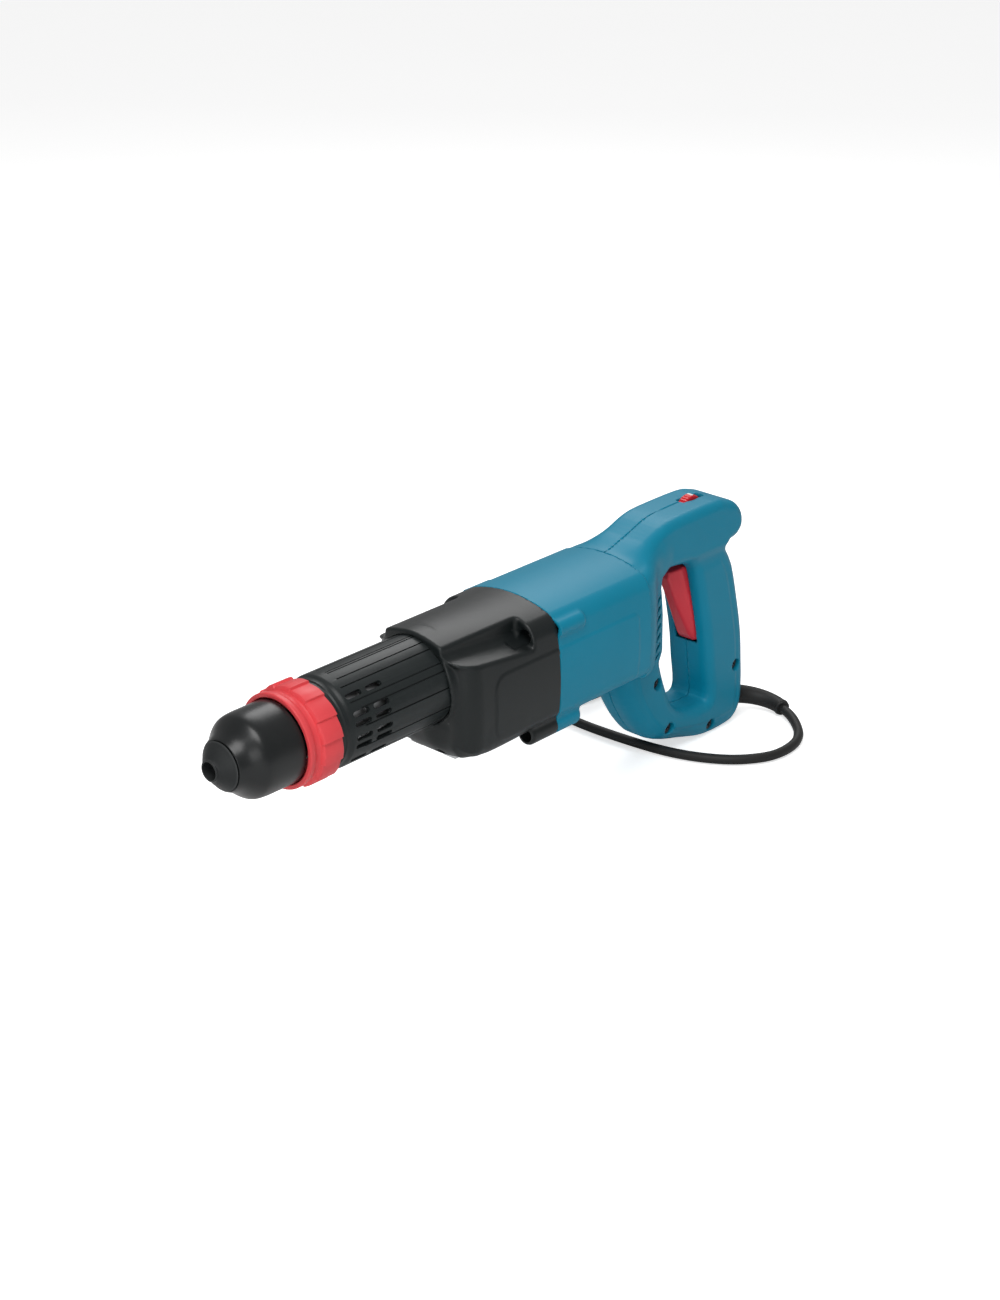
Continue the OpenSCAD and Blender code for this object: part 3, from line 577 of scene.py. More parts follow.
def material_for(slot):
    """The material of a record slot."""
    if slot in FINISHES:
        setting, strength, *values, more = FINISHES[slot]
        return finish_of(slot, [strength * c for c in getattr(finish(), setting)], *values, **more)
    if slot in METALS:
        colour, roughness, metallic = METALS[slot]
        return finish_of(slot, colour, roughness, 900, 0.03, (0.7, 0.7, 0.7), 0.1, 0.0, metallic,
                         brushed=True)
    colour, roughness = PLAIN[slot]
    return finish_of(slot, colour, roughness, 1500, 0.04, (0.1, 0.1, 0.1), 0.1, 0.02)


# ---- Shapes of the mouldings ----


def flank(z, panel):
    """Half-width of the housings: gently bulged sides, stepped out on the side panel."""
    return 42.4 - 0.0021 * (z + 20) ** 2 + sizes().panel_step * ease(-panel / 1.3)


def crown(x, y):
    """Height of the housings' arched top."""
    t = ease((x - X_COVER) / 86)
    return (32.4 - 1.2 * t) - (0.0078 - 0.0024 * t) * y * y


def barrel_body(x, y, z, panel):
    """Common section of the gear cover and the motor housing, endless along the hammer axis."""
    a = np.abs(y)
    body = rounded(z - crown(x, y), a - flank(z, panel), 7)
    under = 0.62 * a - 0.78 * z - 58.7
    body = rounded(body, under, 3)
    return rounded(body, BOTTOM - z, 5)


def cover_panel(x, z):
    """Side panel of the gear cover."""
    return rounded(X_SEAM - 60 - x + 0 * z, np.maximum(z - 5, -41 - z) + 0 * x, 11)


def cover_side():
    """Side outline of the chin that hangs under the front of the gear cover."""
    s = X_COVER
    return curved([(s - 2, -24), (s + 2, -36), (s + 9, -45.5), (s + 16, -52), (s + 26, CHIN + 0.3),
                   (s + 38, CHIN + 0.3), (s + 52, BOTTOM - 1.5), (s + 62, -44), (s + 62, -24), (s + 30, -20)])


def gear_cover_shape(x, y, z):
    """Shell of the gear cover: barrel rim, chin, screw lugs and scoops."""
    a = np.abs(y)
    s, m = X_COVER, X_SEAM
    low = ease((24 - z) / 10)
    body = rounded(barrel_body(x, y, z, cover_panel(x, z)), s - 3 + 5 * low - x, 1.5 + 13 * low)
    rim = rounded(np.hypot(y, z) - BARREL_R - 2.6, s - 2.6 + 4 * ease((10 - z) / 30) - x, 1.5)
    body = joined(body, rounded(rim, x - s - 12, 4), 1.5)
    width = 36 - 21 * (1 - ease((x - s + 10) / 34)) - 0.8 * np.maximum(-z - 43, 0)
    body = joined(body, rounded(outline(COVER_SIDE, x, z), a - width, 13), 8)
    lug_axis = np.hypot(a - LUG_Y, z - BOTTOM)
    lug = rounded(lug_axis - LUG_R, m - 24 - x, 3)
    body = joined(body, lug, 2.5)
    lip = 17 - 0.1 * (x - s) + 0.25 * (40 - a)
    scoop = rounded(rounded(24 - a, lip - z, 5), x - m + 22, 3)
    body = without(body, scoop, 1.8)
    well = np.maximum(np.hypot(a - 31.5, z - 16.6) - WELL_R, x - m + 13)
    body = without(body, np.maximum(well, m - 34 - x), 1)
    body = without(body, np.maximum(lug_axis - WELL_R, x - m + 14), 1)
    inner = body + WALL
    body = without(body, np.maximum(np.hypot(a - CHIN_SCREW_Y, z + 48.3) - 3.5, x - s - 24), 0.6)
    shell = np.maximum(np.maximum(body, x - m), -inner)
    return np.maximum(shell, -np.maximum(np.hypot(y, z) - BARREL_R - 0.3, x - s - 14))


def motor_panel(x, z):
    """Side panel of the motor housing."""
    return rounded(z - 5 + 0 * x, x - X_MEND + 12 + 0 * z, 6)


def motor_housing_shape(x, y, z):
    """Shell of the motor housing, with the bosses that take the screws of the gear cover."""
    a = np.abs(y)
    m = X_SEAM
    body = barrel_body(x, y, z, motor_panel(x, z))
    boss = rounded(np.hypot(a - 37.2, z - 16.5) - 5.6, x - m - 25, 3)
    body = joined(body, boss, 2)
    lug = rounded(np.hypot(a - LUG_Y, z - BOTTOM) - LUG_R, x - m - 24, 4)
    body = joined(body, lug, 3)
    shell = np.maximum(body, -(body + WALL))
    return np.maximum(shell, np.maximum(m + SHUT_LINE - x, x - X_MEND + SHUT_LINE))


def handle_side():
    """Outer side outline of the D-handle, from the top of the motor housing round to its underside."""
    m, r = X_MEND, X_REAR
    return [(m - 4, 31), (m + 6, 31), (m + 18, 34), (m + 28, 38.5), (m + 41, 42.8), (m + 56, HUMP),
            (r - 42, HUMP), (r - 29, 42), (r - 19, 38), (r - 12, 30), (r - 11, 20), (r - 17, 13), (r - 26, 9),
            (r - 17, -8), (r - 9, -37), (r - 3.5, -62), (r - 1, -87), (r, -102), (r - 1, -119), (r - 8, -130),
            (r - 18, -133), (r - 40, -132.6), (r - 74, -126), (r - 98, -117), (r - 110, -106), (r - 120, -92),
            (r - 128, -76), (m + 3, -50), (m - 4, -50)]


def window_side():
    """Side outline of the hand opening."""
    m = X_MEND
    return [(m + 38.5, 6.5), (m + 62, 6.5), (m + 73, 2), (m + 78, -9), (m + 89, -52), (m + 93, -80),
            (m + 96, -101), (m + 91, -105), (m + 74, -103.5), (m + 63, -98), (m + 55, -88), (m + 46, -66),
            (m + 42, -48), (m + 41, -20)]


def handle_shape(x, y, z):
    """Both halves of the handle in one: grip frame, throat to the motor housing, vents and openings."""
    a = np.abs(y)
    m, r = X_MEND, X_REAR
    outer = outline(HANDLE_SIDE, x, z)
    window = outline(WINDOW_SIDE, x, z)
    panel = outer + 10.5
    step = sizes().panel_step * ease(-panel / 1.3) * ease((2 - z) / 6)
    width = GRIP_W - sizes().panel_step + step + (HUMP_W - GRIP_W + 0.6) * ease((z - 4) / 9)
    edge = 7 + 6 * ease((m + 95 - x) / 30) * ease((-40 - z) / 20)
    frame_part = rounded(outer, a - width, edge)
    frame_part = rounded(frame_part, -window, 9)
    t = ease((x - m) / 41)
    throat_w = 41.2 - 0.0019 * (z + 20) ** 2
    side = a - (GRIP_W + (throat_w - GRIP_W) * (1 - t))
    top = z - crown(x, y)
    throat = rounded(rounded(top, side, 7), BOTTOM - z - 2 * t, 8)
    throat = rounded(throat, x - m - 42, 6)
    shape = joined(frame_part, throat, 9)
    shape = rounded(shape, top - 26 * ease((x - m - 1) / 50), 3)
    shape = rounded(shape, a - throat_w, 4)
    shape = rounded(shape, -window - 0.4, 3.5)
    inner = shape + WALL
    shape = np.maximum(shape, -vent_slots(x, a, z))
    for hole_x, hole_z in handle_holes():
        hole = np.hypot(x - hole_x, z - hole_z)
        inner = np.maximum(inner, 7 - hole)
        shape = without(shape, np.maximum(hole - 4.4, y + GRIP_W - 6), 0.5)
    dial_x, dial_z = middle("speed_dial"), middle("speed_dial", 2)
    dish = np.hypot(np.hypot(x - dial_x, 1.4 * y), z - dial_z - 27.5) - 19
    shape = without(shape, dish, 2)
    slot = np.maximum(np.maximum(np.abs(x - dial_x - 1) - 11, a - 3.6), dial_z - 8 - z)
    shape = np.maximum(shape, -slot)
    low, high = span("trigger", 2)
    t_low, t_high = span("trigger")
    opening = np.maximum(np.maximum(low - 1.5 - z, z - high - 4), a - 9.4)
    opening = np.maximum(opening, np.maximum(t_low - x, x - t_high + 1))
    shape = np.maximum(shape, -opening)
    shape = np.maximum(shape, -np.maximum(np.hypot(y, z - GUARD_Z) - 7.8, r - 16 - x))
    shell = np.maximum(shape, -inner)
    return np.maximum(shell, m + SHUT_LINE - x)


def handle_holes():
    """Places of the handle screws, as (x, z)."""
    m, r = X_MEND, X_REAR
    return [(m + 38, -72), (m + 53, -111), (r - 37.5, -125), (r - 11.5, -87)]


def vent_slots(x, a, z):
    """Seven slanted air slots on each slope behind the motor."""
    pitch, middle_z = 7.0, -27
    along = x - X_MEND - 30
    nearest = np.clip(np.round((middle_z - z) / pitch), -3, 3)
    lift = z - middle_z + pitch * nearest - 0.35 * along
    return np.maximum(np.maximum(np.abs(lift) - 1.7, np.abs(along) - 4.5), 16 - a)


COVER_SIDE = cover_side()
HANDLE_SIDE = curved(handle_side())
WINDOW_SIDE = curved(window_side())


# ---- Operators ----


class HammerPiece:
    """What every operator of this file shares"""

    bl_options = {"REGISTER", "UNDO"}


class HAMMER_OT_stage(HammerPiece, bpy.types.Operator):
    """Add the floor, the soft lights and the camera"""

    bl_idname = "hammer.stage"
    bl_label = "Stage"

    def execute(self, context):
        scene = context.scene
        floor_mesh = bpy.data.meshes.new("floor")
        half, top = 6.0, -0.0005
        corners = [(u * half, v * half, top) for u, v in ((-1, -1), (1, -1), (1, 1), (-1, 1))]
        floor_mesh.from_pydata(corners, [], [(0, 1, 2, 3)])
        floor = linked("floor", floor_mesh)
        floor_mesh.materials.append(self.floor_material())
        world = bpy.data.worlds.new("soft_sky")
        world.use_nodes = True
        sky = world.node_tree.nodes["Background"]
        sky.inputs["Color"].default_value = (1, 1, 1, 1)
        sky.inputs["Strength"].default_value = 0.31
        scene.world = world
        for light in (("key", (-0.7, -0.5, 1.6), 0.9, 18), ("side", (-1.5, -0.9, 0.5), 0.7, 5),
                      ("back", (0.9, 0.7, 1.2), 0.8, 9)):
            self.area_light(*light)
        scene.view_settings.view_transform = "Standard"
        self.camera(scene)
        return {"FINISHED"}

    def floor_material(self):
        material = bpy.data.materials.new("studio_floor")
        material.use_nodes = True
        tree = material.node_tree
        shader = tree.nodes["Principled BSDF"]
        pale = finish().floor
        cloudy = mix_colour(tree, noise(tree, 3.0), pale, [min(1, 1.03 * c) for c in pale])
        tree.links.new(cloudy, shader.inputs["Base Color"])
        shader.inputs["Roughness"].default_value = 0.8
        seen = add_node(tree, "ShaderNodeLightPath").outputs["Is Camera Ray"]
        tree.links.new(maths(tree, "MULTIPLY", seen, 0.62), shader.inputs["Emission Strength"])
        shader.inputs["Emission Color"].default_value = (1, 1, 1, 1)
        return material

    def area_light(self, name, where, size, power):
        light = bpy.data.lights.new(name, "AREA")
        light.size = size
        light.energy = power
        lamp = linked(name, light)
        lamp.location = where
        lamp.rotation_euler = (Vector((0, 0, 0.1)) - Vector(where)).to_track_quat("-Z", "Y").to_euler()

    def camera(self, scene):
        azimuth, elevation = math.radians(-47.526), math.radians(24.281)
        level = math.cos(elevation)
        back = Vector((math.sin(azimuth) * level, -math.cos(azimuth) * level, math.sin(elevation)))
        data = bpy.data.cameras.new("camera")
        data.lens = 66.46
        data.sensor_width = 36
        data.clip_start = 0.05
        scene.camera = linked("camera", data)
        scene.camera.location = (-1.0221, -0.9383, 0.7541)
        scene.camera.rotation_euler = (-back).to_track_quat("-Z", "Y").to_euler()


class HAMMER_OT_chuck(HammerPiece, bpy.types.Operator):
    """Add the nose boot and the sliding chuck cover"""

    bl_idname = "hammer.chuck"
    bl_label = "Chuck"

    def execute(self, context):
        base = X_CUP - 0.3
        tip = [(0.9, 5.65), *arc((0.75, 6.1), 0.75, 215, 60)]
        cone = [(1.5 + 6.1 * t, 6.95 + 7.2 * t + 0.3 * math.sin(math.pi * t)) for t in np.linspace(0, 1, 8)]
        lip = [*arc((base - 0.7, 14.6), 0.7, 70, 0, 4), (base, 13.7), (base + 7, 13.7), (base + 7, 11),
               (base + 0.5, 11), (base + 0.5, 5.65)]
        add_mesh("nose_boot_cone", *turned(tip + cone + lip), "tool_holder", "boot_rubber", ["nose_boot"], 50)
        shoulder = [(-0.2, 15.7), (0.5, 16.2), (2.8, 17.3), (5, 18.5), (7, 19.9), (9, 21.6), (11, 23.3),
                    (13, 24.75), (15, 25.65), (18, 26.15), (22, CUP_R)]
        dome = [(X_CUP + max(0, u), r) for u, r in smooth_line([(*q, 0) for q in shoulder], 3)[:, :2]]
        wall = 2.4
        skirt = [(X_RIM - 0.8, CUP_R), *arc((X_RIM - 0.6, CUP_R - 0.6), 0.6, 90, 0, 3), (X_RIM, CUP_R - wall),
                 (X_CUP + 19, CUP_R - wall)]
        inside = [(x + 1.6, r - 1.7) for x, r in reversed(dome[8:-9])]
        mouth = [(X_CUP + 3.6, 14.0), (X_CUP + 0.3, 14.0), (X_CUP, 14.3)]
        cup = turned(dome + skirt + inside + mouth, 128)
        add_mesh("chuck_cover_cup", *cup, "chuck_cover", "chuck_black", ["chuck_cover"], 50)
        return {"FINISHED"}


class HAMMER_OT_ring(HammerPiece, bpy.types.Operator):
    """Add the change ring with its stepped grips"""

    bl_idname = "hammer.ring"
    bl_label = "Change Ring"

    def execute(self, context):
        x, end = X_RING, X_RING_END
        inner = CUP_R + 0.6
        bore = 15.05
        profile = [(x + 0.3, inner), (x, inner + 0.5), (x, 29.0), *arc((x + 0.8, 29.1), 0.8, 160, 90, 3),
                   (x + 3.2, 29.9), (x + 4.1, 29.5), (x + 5.0, 28.7), (x + 6.2, 28.4), (x + 8.2, 28.4),
                   (x + 9.0, 28.8), (x + 9.4, 29.6), (x + 9.6, 30.6), (x + 10.4, 31.7), (x + 11.2, RING_R),
                   (x + 17, RING_R), (end - 1.6, RING_R), (end - 0.5, 31.6), (end, 30.8), (end, bore),
                   (x + 14.7, bore), (x + 14.7, inner)]
        grips = sizes().grips

        def stepped(along, r, angle):
            if r < 29.9 or along < x + 9.5:
                return r
            share = (angle * grips / (2 * math.pi) + 0.3) % 1.0
            return r - 1.15 * (1 - ease(share / 0.75)) + 0.25 * ease((share - 0.75) / 0.25) - 0.25

        ring = turned(profile, 12 * 24, stepped)
        add_mesh("change_ring_grip", *ring, "change_ring", "ring_red", ["change_ring"], 28)
        return {"FINISHED"}


class HAMMER_OT_barrel(HammerPiece, bpy.types.Operator):
    """Add the barrel sleeve with its grooves and air slots"""

    bl_idname = "hammer.barrel"
    bl_label = "Barrel Sleeve"

    grooves = (88, 73, 60, 39, 29, 8, -19, -42, -62)
    slots = (47, 24.5, 12.5, -4.5, -15.5, -38)

    def execute(self, context):
        x, b, s = X_COLLAR, X_BARREL, X_COVER
        profile = [(x, 16), *arc((x + 0.8, 26.7), 0.8, 180, 90, 3), (x + 4.2, 27.5), (x + 5.2, 28.2),
                   (b - 0.6, 28.3), (b + 0.3, 28.7), (b + 1.4, 29.4), (b + 2.6, BARREL_R), (s + 1, BARREL_R),
                   (s + 1, BARREL_R - 1.2), (s + 10, BARREL_R - 1.2), (s + 10, BARREL_R - 3),
                   (b, BARREL_R - 3), (b - 1, 24.5), (x + 2.5, 24.5), (x + 2.5, 16)]
        sleeve = bare_piece("barrel_sleeve_ribbed", *turned(profile, 180))
        cutters = self.cutters()
        for cutter in cutters:
            change = sleeve.modifiers.new("cut", "BOOLEAN")
            change.object = cutter
            change.operation = "DIFFERENCE"
            change.solver = "MANIFOLD"
        made_plain(sleeve)
        for cutter in cutters:
            bpy.data.objects.remove(cutter)
        dress(sleeve, "housing", "sleeve_black", ["barrel_sleeve"], 30)
        return {"FINISHED"}

    def cutters(self):
        """The tools that cut the grooves, and those that cut the air slots."""
        half, r, length = sizes().groove / 2, 1.75, 13
        grooves, slots = [], []
        for side in (0, 1):
            for degrees in self.grooves:
                start, end = X_BARREL + 5 + 3 * (degrees % 3), X_COVER + 3
                plan = [(start, -half), (end, -half), (end, half), (start, half)]
                grooves.append((plan, self.angle(side, degrees)))
            for degrees in self.slots:
                for start in (X_BARREL + 3.5, X_BARREL + 20):
                    bend = [(math.cos(t), math.sin(t)) for t in np.linspace(-math.pi / 2, math.pi / 2, 7)]
                    plan = [(start + r - r * c, -r * d) for c, d in bend]
                    plan += [(start + length - r + r * c, r * d) for c, d in bend]
                    slots.append((plan, self.angle(side, degrees)))
        return self.prisms("grooves", grooves, BARREL_R - 0.8), self.prisms("slots", slots, BARREL_R - 5)

    def angle(self, side, degrees):
        return math.radians(180 - degrees if side else degrees)

    def prisms(self, name, plans, low):
        """Straight-sided cutters over plans of (x, across) points, each at an angle round the barrel."""
        points, faces = [], []
        for plan, angle in plans:
            n, first = len(plan), len(points)
            c, d = math.cos(angle), math.sin(angle)
            for radius in (low, BARREL_R + 2):
                points += [(x, across * d - radius * c, across * c + radius * d) for x, across in plan]
            faces.append([first + i for i in range(n)])
            faces.append([first + n + i for i in reversed(range(n))])
            for i in range(n):
                j = (i + 1) % n
                faces.append([first + i, first + n + i, first + n + j, first + j])
        cutter = bare_piece(name, points, faces)
        work = bmesh.new()
        work.from_mesh(cutter.data)
        bmesh.ops.recalc_face_normals(work, faces=work.faces)
        work.to_mesh(cutter.data)
        work.free()
        return cutter


class HAMMER_OT_gear_cover(HammerPiece, bpy.types.Operator):
    """Add the black gear cover with its scoops, screw lugs and chin"""

    bl_idname = "hammer.gear_cover"
    bl_label = "Gear Cover"

    def execute(self, context):
        moulding("gear_cover_shell", gear_cover_shape, (X_COVER - 8, -44, CHIN), (X_SEAM, 44, 36), "housing",
                 "cover_black", ["gear_cover"])
        return {"FINISHED"}


class HAMMER_OT_motor_housing(HammerPiece, bpy.types.Operator):
    """Add the motor housing"""

    bl_idname = "hammer.motor_housing"
    bl_label = "Motor Housing"

    def execute(self, context):
        moulding("motor_housing_shell", motor_housing_shape, (X_SEAM, -44, CHIN), (X_MEND, 44, 34), "housing",
                 "housing_blue", ["motor_housing"])
        return {"FINISHED"}


class HAMMER_OT_handle(HammerPiece, bpy.types.Operator):
    """Add the two halves of the D-handle"""

    bl_idname = "hammer.handle"
    bl_label = "D-Handle"

    def execute(self, context):
        low, high = (X_MEND, -44, span("handle_left", 2)[0] - 0.5), (X_REAR + 1, 44, HUMP + 1)
        for name, sign in (("handle_left", -1), ("handle_right", 1)):

            def half(x, y, z, sign=sign):
                return np.maximum(handle_shape(x, y, z), SHUT_LINE - sign * y)

            box_low = (low[0], low[1] if sign < 0 else 0, low[2])
            box_high = (high[0], 0 if sign < 0 else high[1], high[2])
            moulding(name + "_shell", half, box_low, box_high, "housing", "housing_blue", [name])
        return {"FINISHED"}


class HAMMER_OT_trigger(HammerPiece, bpy.types.Operator):
    """Add the long two-finger trigger"""

    bl_idname = "hammer.trigger"
    bl_label = "Trigger"

    def execute(self, context):
        low, high = span("trigger")
        z0, z1 = span("trigger", 2)

        def shape(x, y, z):
            a = np.abs(y)
            front = outline([(low, z1 - 7), (low + 1.5, z1 - 3), (low + 12, z1), (low + 19, z1 - 2),
                             (high - 8, z0 + 30), (high, z0 + 9), (high, z0 + 1.5), (high - 6, z0),
                             (high - 10, z0 + 4.5), (high - 23, z0 + 30)], x, z)
            t = np.clip((z - z0) / (z1 - z0), 0, 1)
            ridge = high - 10.5 - (high - 10.5 - low) * t
            width = 4.4 + 0.62 * np.maximum(x - ridge, 0)
            return rounded(rounded(front, a - width, 1.4), a - 9.0, 1.2)

        moulding("trigger_lever", shape, (low, -9, z0), (high, 9, z1), "trigger", "trigger_red", ["trigger"],
                 0.7)
        return {"FINISHED"}


class HAMMER_OT_speed_dial(HammerPiece, bpy.types.Operator):
    """Add the knurled speed wheel and its index mark"""

    bl_idname = "hammer.speed_dial"
    bl_label = "Speed Wheel"

    def execute(self, context):
        x, z = middle("speed_dial"), middle("speed_dial", 2)
        radius = (span("speed_dial")[1] - span("speed_dial")[0]) / 2
        half = 3.15
        teeth = 30
        profile = [(-half - 4, 0.01), (-half - 4, 2), (-half, 2), (-half, radius - 0.8),
                   (-half + 0.7, radius), (half - 0.7, radius), (half, radius - 0.8), (half, 2),
                   (half + 4, 2), (half + 4, 0.01)]

        def knurl(along, r, angle):
            return r - 0.35 * (0.5 + 0.5 * math.cos(teeth * angle)) if r > 5 else r

        points, faces = turned(profile, 8 * teeth, knurl)
        wheel = np.stack([x + points[:, 1], points[:, 0], z + points[:, 2]], 1)
        add_mesh("speed_wheel", wheel, facing_out(wheel, faces), "speed_dial", "dial_red", ["speed_dial"], 30)
        corners = ((-0.8, -2.2), (0.8, -2.2), (0.8, 2.2), (-0.8, 2.2))
        mark = [(x + 1.4 + u, v, z + w) for w in (radius - 0.5, radius + 0.05) for u, v in corners]
        sides = np.array([(0, 3, 2, 1), (4, 5, 6, 7), (0, 1, 5, 4), (1, 2, 6, 5), (2, 3, 7, 6), (3, 0, 4, 7)])
        white = finish_of("index_white", (0.85, 0.85, 0.83), 0.45, 1500, 0.02, (0.7, 0.7, 0.7), 0.1, 0.02)
        add_mesh("speed_wheel_mark", np.array(mark), sides, "speed_dial", "dial_red", material=white)
        return {"FINISHED"}


class HAMMER_OT_screws(HammerPiece, bpy.types.Operator):
    """Add the cross-recessed screws of the handle and the socket screws of the gear cover"""

    bl_idname = "hammer.screws"
    bl_label = "Screws"

    def execute(self, context):
        sunk = 3.0
        carrier = bare_piece("handle_screw_heads", [(x, sunk - GRIP_W, z) for x, z in handle_holes()])
        template = self.template()
        tree = self.tree(template)
        change = carrier.modifiers.new("screws", "NODES")
        change.node_group = tree
        for item in tree.interface.items_tree:
            if item.in_out == "INPUT" and item.name == "Size":
                change[item.identifier] = 1.0
        made_plain(carrier)
        dress(carrier, "housing", "dark_steel", ["handle_screws"], 30)
        bpy.data.objects.remove(template)
        wells = [(X_SEAM - 14, side * y, z) for side in (-1, 1) for y, z in ((32.4, 16.9), (LUG_Y, BOTTOM))]
        self.cap_screws("housing_screws", wells, 3.2, 3.0)
        wells = [(X_COVER + 16.5, side * CHIN_SCREW_Y, -48.9) for side in (-1, 1)]
        self.cap_screws("chin_screws", wells, 2.9, 2.0)
        return {"FINISHED"}

    def cap_screws(self, node, wells, head, height):
        """Socket screws lying along the hammer, sunk in their wells, as deep as the CAD node's."""
        points, faces = [], []
        end = span(node)[1]
        for x, y, z in wells:
            profile = [(x + 1.5, 0.01), (x + 1.5, 1.7), (x, 1.7), (x, head - 0.3), (x + 0.3, head),
                       (x + height, head), (x + height, 1.8), (end, 1.8), (end, 0.01)]
            p, f = turned(profile, 24)
            faces.append(f + sum(len(q) for q in points))
            points.append(p + [0, y, z])
        points, faces = np.concatenate(points), np.concatenate(faces)
        add_mesh(node + "_sunk", points, faces, "housing", SLOTS[node], [node], 30)

    def template(self):
        """One screw, its head towards -Y, with a cross recess; its origin is the top of the head."""
        size = 4.0

        def shape(x, y, z):
            r = np.hypot(x, z)
            head = rounded(r - size, np.maximum(y - 3, -y + 0.02 * r * r), 0.5)
            shank = np.maximum(r - 2.3, np.maximum(y - 27, 1 - y))
            u, w = np.abs(x), np.abs(z)
            cross = np.maximum(np.minimum(u, w) - 0.55, np.maximum(u, w) - 2.3)
            return np.maximum(np.minimum(head, shank), -np.maximum(cross, y - 1.9))

        points, faces = surface(shape, (-size, 0, -size), (size, 27, size), 0.4)
        mesh = bpy.data.meshes.new("screw")
        mesh.from_pydata([tuple(MM * p) for p in points], [], faces.tolist())
        return linked("screw", mesh)

    def tree(self, template):
        """Geometry Nodes that put the template on every point, each turned its own way."""
        tree = bpy.data.node_groups.new("Screws On Points", "GeometryNodeTree")
        tree.interface.new_socket("Geometry", in_out="INPUT", socket_type="NodeSocketGeometry")
        size = tree.interface.new_socket("Size", in_out="INPUT", socket_type="NodeSocketFloat")
        size.default_value = 1.0
        tree.interface.new_socket("Geometry", in_out="OUTPUT", socket_type="NodeSocketGeometry")
        given, out = tree.nodes.new("NodeGroupInput"), tree.nodes.new("NodeGroupOutput")
        points = add_node(tree, "GeometryNodeMeshToPoints", [("Mesh", given.outputs["Geometry"])])
        source = add_node(tree, "GeometryNodeObjectInfo")
        source.inputs["Object"].default_value = template
        turn = add_node(tree, "FunctionNodeRandomValue", data_type="FLOAT")
        turn.inputs[3].default_value = 1.5
        turn.inputs["Seed"].default_value = 4
        spin = add_node(tree, "ShaderNodeCombineXYZ", [("Y", turn.outputs[1])])
        copies = add_node(tree, "GeometryNodeInstanceOnPoints", [
            ("Points", points.outputs[0]), ("Instance", source.outputs["Geometry"]),
            ("Rotation", spin.outputs[0]), ("Scale", given.outputs["Size"]),
        ])
        real = add_node(tree, "GeometryNodeRealizeInstances", [(0, copies.outputs[0])])
        painted = add_node(tree, "GeometryNodeSetMaterial", [("Geometry", real.outputs[0])])
        painted.inputs["Material"].default_value = material_for("dark_steel")
        tree.links.new(painted.outputs[0], out.inputs[0])
        return tree


def swept(path, radius, sides):
    """A tube with closed ends along a path, with one radius for each point."""
    path = np.asarray(path, float)
    forward = np.gradient(path, axis=0)
    forward /= np.linalg.norm(forward, axis=1)[:, None]
    across = np.cross(forward, [0, 0, 1.0])
    across /= np.linalg.norm(across, axis=1)[:, None]
    up = np.cross(across, forward)
    angles = np.linspace(0, 2 * math.pi, sides, endpoint=False)
    points = np.concatenate([
        p + r * (np.cos(angles)[:, None] * u + np.sin(angles)[:, None] * v)
        for p, r, u, v in zip(path, radius, across, up)
    ])
    faces = []
    for i in range(len(path) - 1):
        for k in range(sides):
            j = (k + 1) % sides
            faces.append((i * sides + k, (i + 1) * sides + k, (i + 1) * sides + j, i * sides + j))
    faces.append(tuple(range(sides)))
    last = (len(path) - 1) * sides
    faces.append(tuple(last + k for k in reversed(range(sides))))
    return points, faces


def guard_line(steps=60):
    """Centre line of the strain relief, out of the handle's rear and down to the surface."""
    bend, turn, drop = 28.0, 110.0, 9
    line = []
    for i in range(steps + 1):
        a = math.radians(turn * i / steps)
        height = GUARD_Z - drop * (i / steps) ** 0.7
        line.append((X_REAR - 4.5 + bend * math.sin(a), bend * (math.cos(a) - 1), height))
    return line


# The free route of the cord from the end of the strain relief, in millimetres, with heights above the surface
ROUTE = [
    (0, 0, 6), (-5, -11, 5), (-12, -21, 3.5), (-22, -30, 3.5), (-34, -36, 3.5), (-48, -38, 3.5),
    (-62, -36, 3.5), (-75, -29, 3.5), (-86, -19, 3.5), (-95, -6, 3.5), (-102, 9, 3.5),
    (-107, 26, 3.5), (-110, 45, 3.5), (-112, 66, 3.5), (-113, 88, 3.5), (-113, 112, 4), (-113, 136, 4.5),
]
# The end of the cord from the top of the coil up to the plug, about the coil's centre
COIL_TOP = 25.6
TAIL = [(-38, 16, COIL_TOP), (-31, 26, COIL_TOP), (-21, 34, 25.8), (-10, 38.6, 27), (2, 40, 29.5),
        (12, 40, 31.4), (20, 40, 32)]


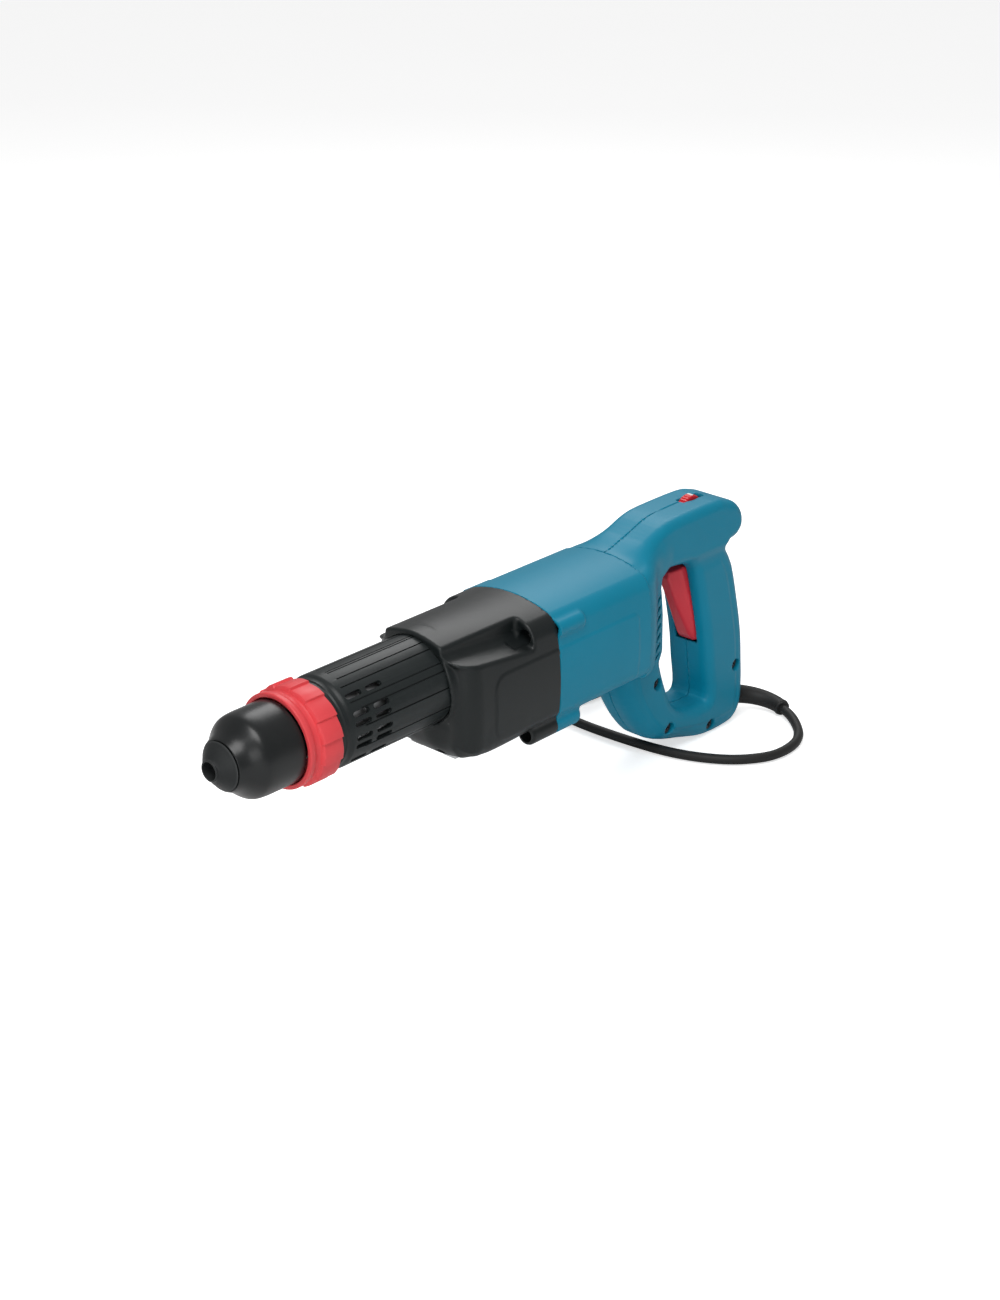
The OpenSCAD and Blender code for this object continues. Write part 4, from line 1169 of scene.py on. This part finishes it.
class HAMMER_OT_cord(HammerPiece, bpy.types.Operator):
    """Add the strain relief, the cord with its coil and the plug"""

    bl_idname = "hammer.cord"
    bl_label = "Cord"

    def execute(self, context):
        relief = self.strain_relief()
        line = self.cord_line()
        curve = bpy.data.curves.new("power_cord_line", "CURVE")
        curve.dimensions = "3D"
        curve.bevel_depth = CORD_D / 2 * MM
        curve.bevel_resolution = 3
        curve.use_fill_caps = True
        spline = curve.splines.new("POLY")
        spline.points.add(len(line) - 1)
        for point, co in zip(spline.points, place(line)):
            point.co = (*co, 1)
        cord = linked("power_cord_line", curve)
        curve.materials.append(material_for("cord_rubber"))
        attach(cord, "housing")
        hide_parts("power_cord", "cord_coil")
        plug = self.plug()
        return {"FINISHED"}

    def strain_relief(self):
        """Tapered sleeve with an end collar."""
        line = guard_line(110)
        radius = []
        for i in range(len(line)):
            t = i / (len(line) - 1)
            r = 7.4 - 2.0 * t
            if t > 0.93:
                r = 5.4 + 0.55 * math.sin(math.pi * min(1, (t - 0.93) / 0.06))
            radius.append(r)
        inside = [(X_REAR - 12 + 0.5 * k, 0, line[0][2]) for k in range(14)]
        points, faces = swept(inside + line, [7.4] * len(inside) + radius, 28)
        return add_mesh("strain_relief", points, faces, "housing", "cord_rubber", ["cord_guard"])

    def cord_line(self):
        """Centre line of the whole cord: free part, coil and end."""
        end = guard_line()[-1]
        centre = middle("cord_coil"), middle("cord_coil", 1)
        straight = smooth_line([(end[0] + u, end[1] + v, FLOOR + w) for u, v, w in ROUTE], 6)
        tail = smooth_line([(centre[0] + u, centre[1] + v, FLOOR + w) for u, v, w in TAIL], 8)
        return np.concatenate([straight[:-1], self.coil(centre), tail[1:]])

    def coil(self, centre):
        """Eight turns in three layers, each wound beside the last, from the free cord to its end."""
        turn_r = [47, 40, 33, 33, 40, 47, 47, 40]
        layer = [0, 0, 0, 1, 1, 1, 2, 2]
        line = []
        per_turn, off_floor = 40, 1.0
        first, last = 180, 180 + 360 * len(turn_r) + 23
        for step in range((last - first) * per_turn // 360 + 1):
            a = first - step * 360 / per_turn
            turn = step / per_turn
            k = min(int(turn), len(turn_r) - 1)
            nxt = min(k + 1, len(turn_r) - 1)
            t = float(ease(np.array((turn - k - 0.82) / 0.18)))
            r = turn_r[k] + (turn_r[nxt] - turn_r[k]) * t
            z = off_floor + CORD_D / 2 + CORD_D * (layer[k] + (layer[nxt] - layer[k]) * t)
            if turn > len(turn_r) - 0.25:
                z += (COIL_TOP - z) * float(ease(np.array((turn - len(turn_r) + 0.25) / 0.3)))
            a = math.radians(a)
            line.append((centre[0] + r * math.cos(a), centre[1] + r * math.sin(a), FLOOR + z))
        return np.array(line)

    def plug(self):
        """Round moulded plug body with a tapered cord entry."""
        x, end = span("plug_body")
        profile = [(x, 3.6), (x, 4.6), (x + 3, 5.0), (x + 8, 6.4), (x + 11, 8.6), (x + 14, 9.8), (x + 18, 10),
                   (end - 2, 10), (end - 0.6, 9.4), (end, 8.6), (end, 0.01), (x + 0.5, 0.01)]
        points, faces = turned(profile, 64)
        points = points + [0, middle("plug_body", 1), middle("plug_body", 2)]
        return add_mesh("plug_moulding", points, faces, "housing", "plug_black", ["plug_body"])


class HAMMER_OT_inside(HammerPiece, bpy.types.Operator):
    """Give every CAD node that stays its own finish"""

    bl_idname = "hammer.inside"
    bl_label = "Inner Parts"

    def execute(self, context):
        for name, node in NODES.items():
            node.data.materials.clear()
            node.data.materials.append(material_for(SLOTS[name]))
            node.data.set_sharp_from_angle(angle=math.radians(30))
        return {"FINISHED"}


class HAMMER_PT_panel(bpy.types.Panel):
    """Buttons that build the hammer piece by piece"""

    bl_label = "Demolition Hammer"
    bl_space_type = "VIEW_3D"
    bl_region_type = "UI"
    bl_category = "Hammer"

    def draw(self, context):
        for operator in OPERATORS:
            self.layout.operator(operator.bl_idname)
        for settings in (context.scene.hammer_sizes, context.scene.hammer_finish):
            for name in settings.__annotations__:
                self.layout.prop(settings, name)


OPERATORS = (
    HAMMER_OT_stage, HAMMER_OT_cord, HAMMER_OT_chuck, HAMMER_OT_ring, HAMMER_OT_barrel, HAMMER_OT_gear_cover,
    HAMMER_OT_motor_housing, HAMMER_OT_handle, HAMMER_OT_trigger, HAMMER_OT_speed_dial, HAMMER_OT_screws,
    HAMMER_OT_inside,
)
CLASSES = (HammerFinish, HammerSizes, *OPERATORS, HAMMER_PT_panel)


def register():
    for cls in CLASSES:
        bpy.utils.register_class(cls)
    bpy.types.Scene.hammer_finish = bpy.props.PointerProperty(type=HammerFinish)
    bpy.types.Scene.hammer_sizes = bpy.props.PointerProperty(type=HammerSizes)


def unregister():
    del bpy.types.Scene.hammer_sizes
    del bpy.types.Scene.hammer_finish
    for cls in reversed(CLASSES):
        bpy.utils.unregister_class(cls)


def main():
    register()
    for operator in OPERATORS:
        getattr(bpy.ops.hammer, operator.bl_idname.split(".")[1])()


if __name__ == "__main__":
    main()
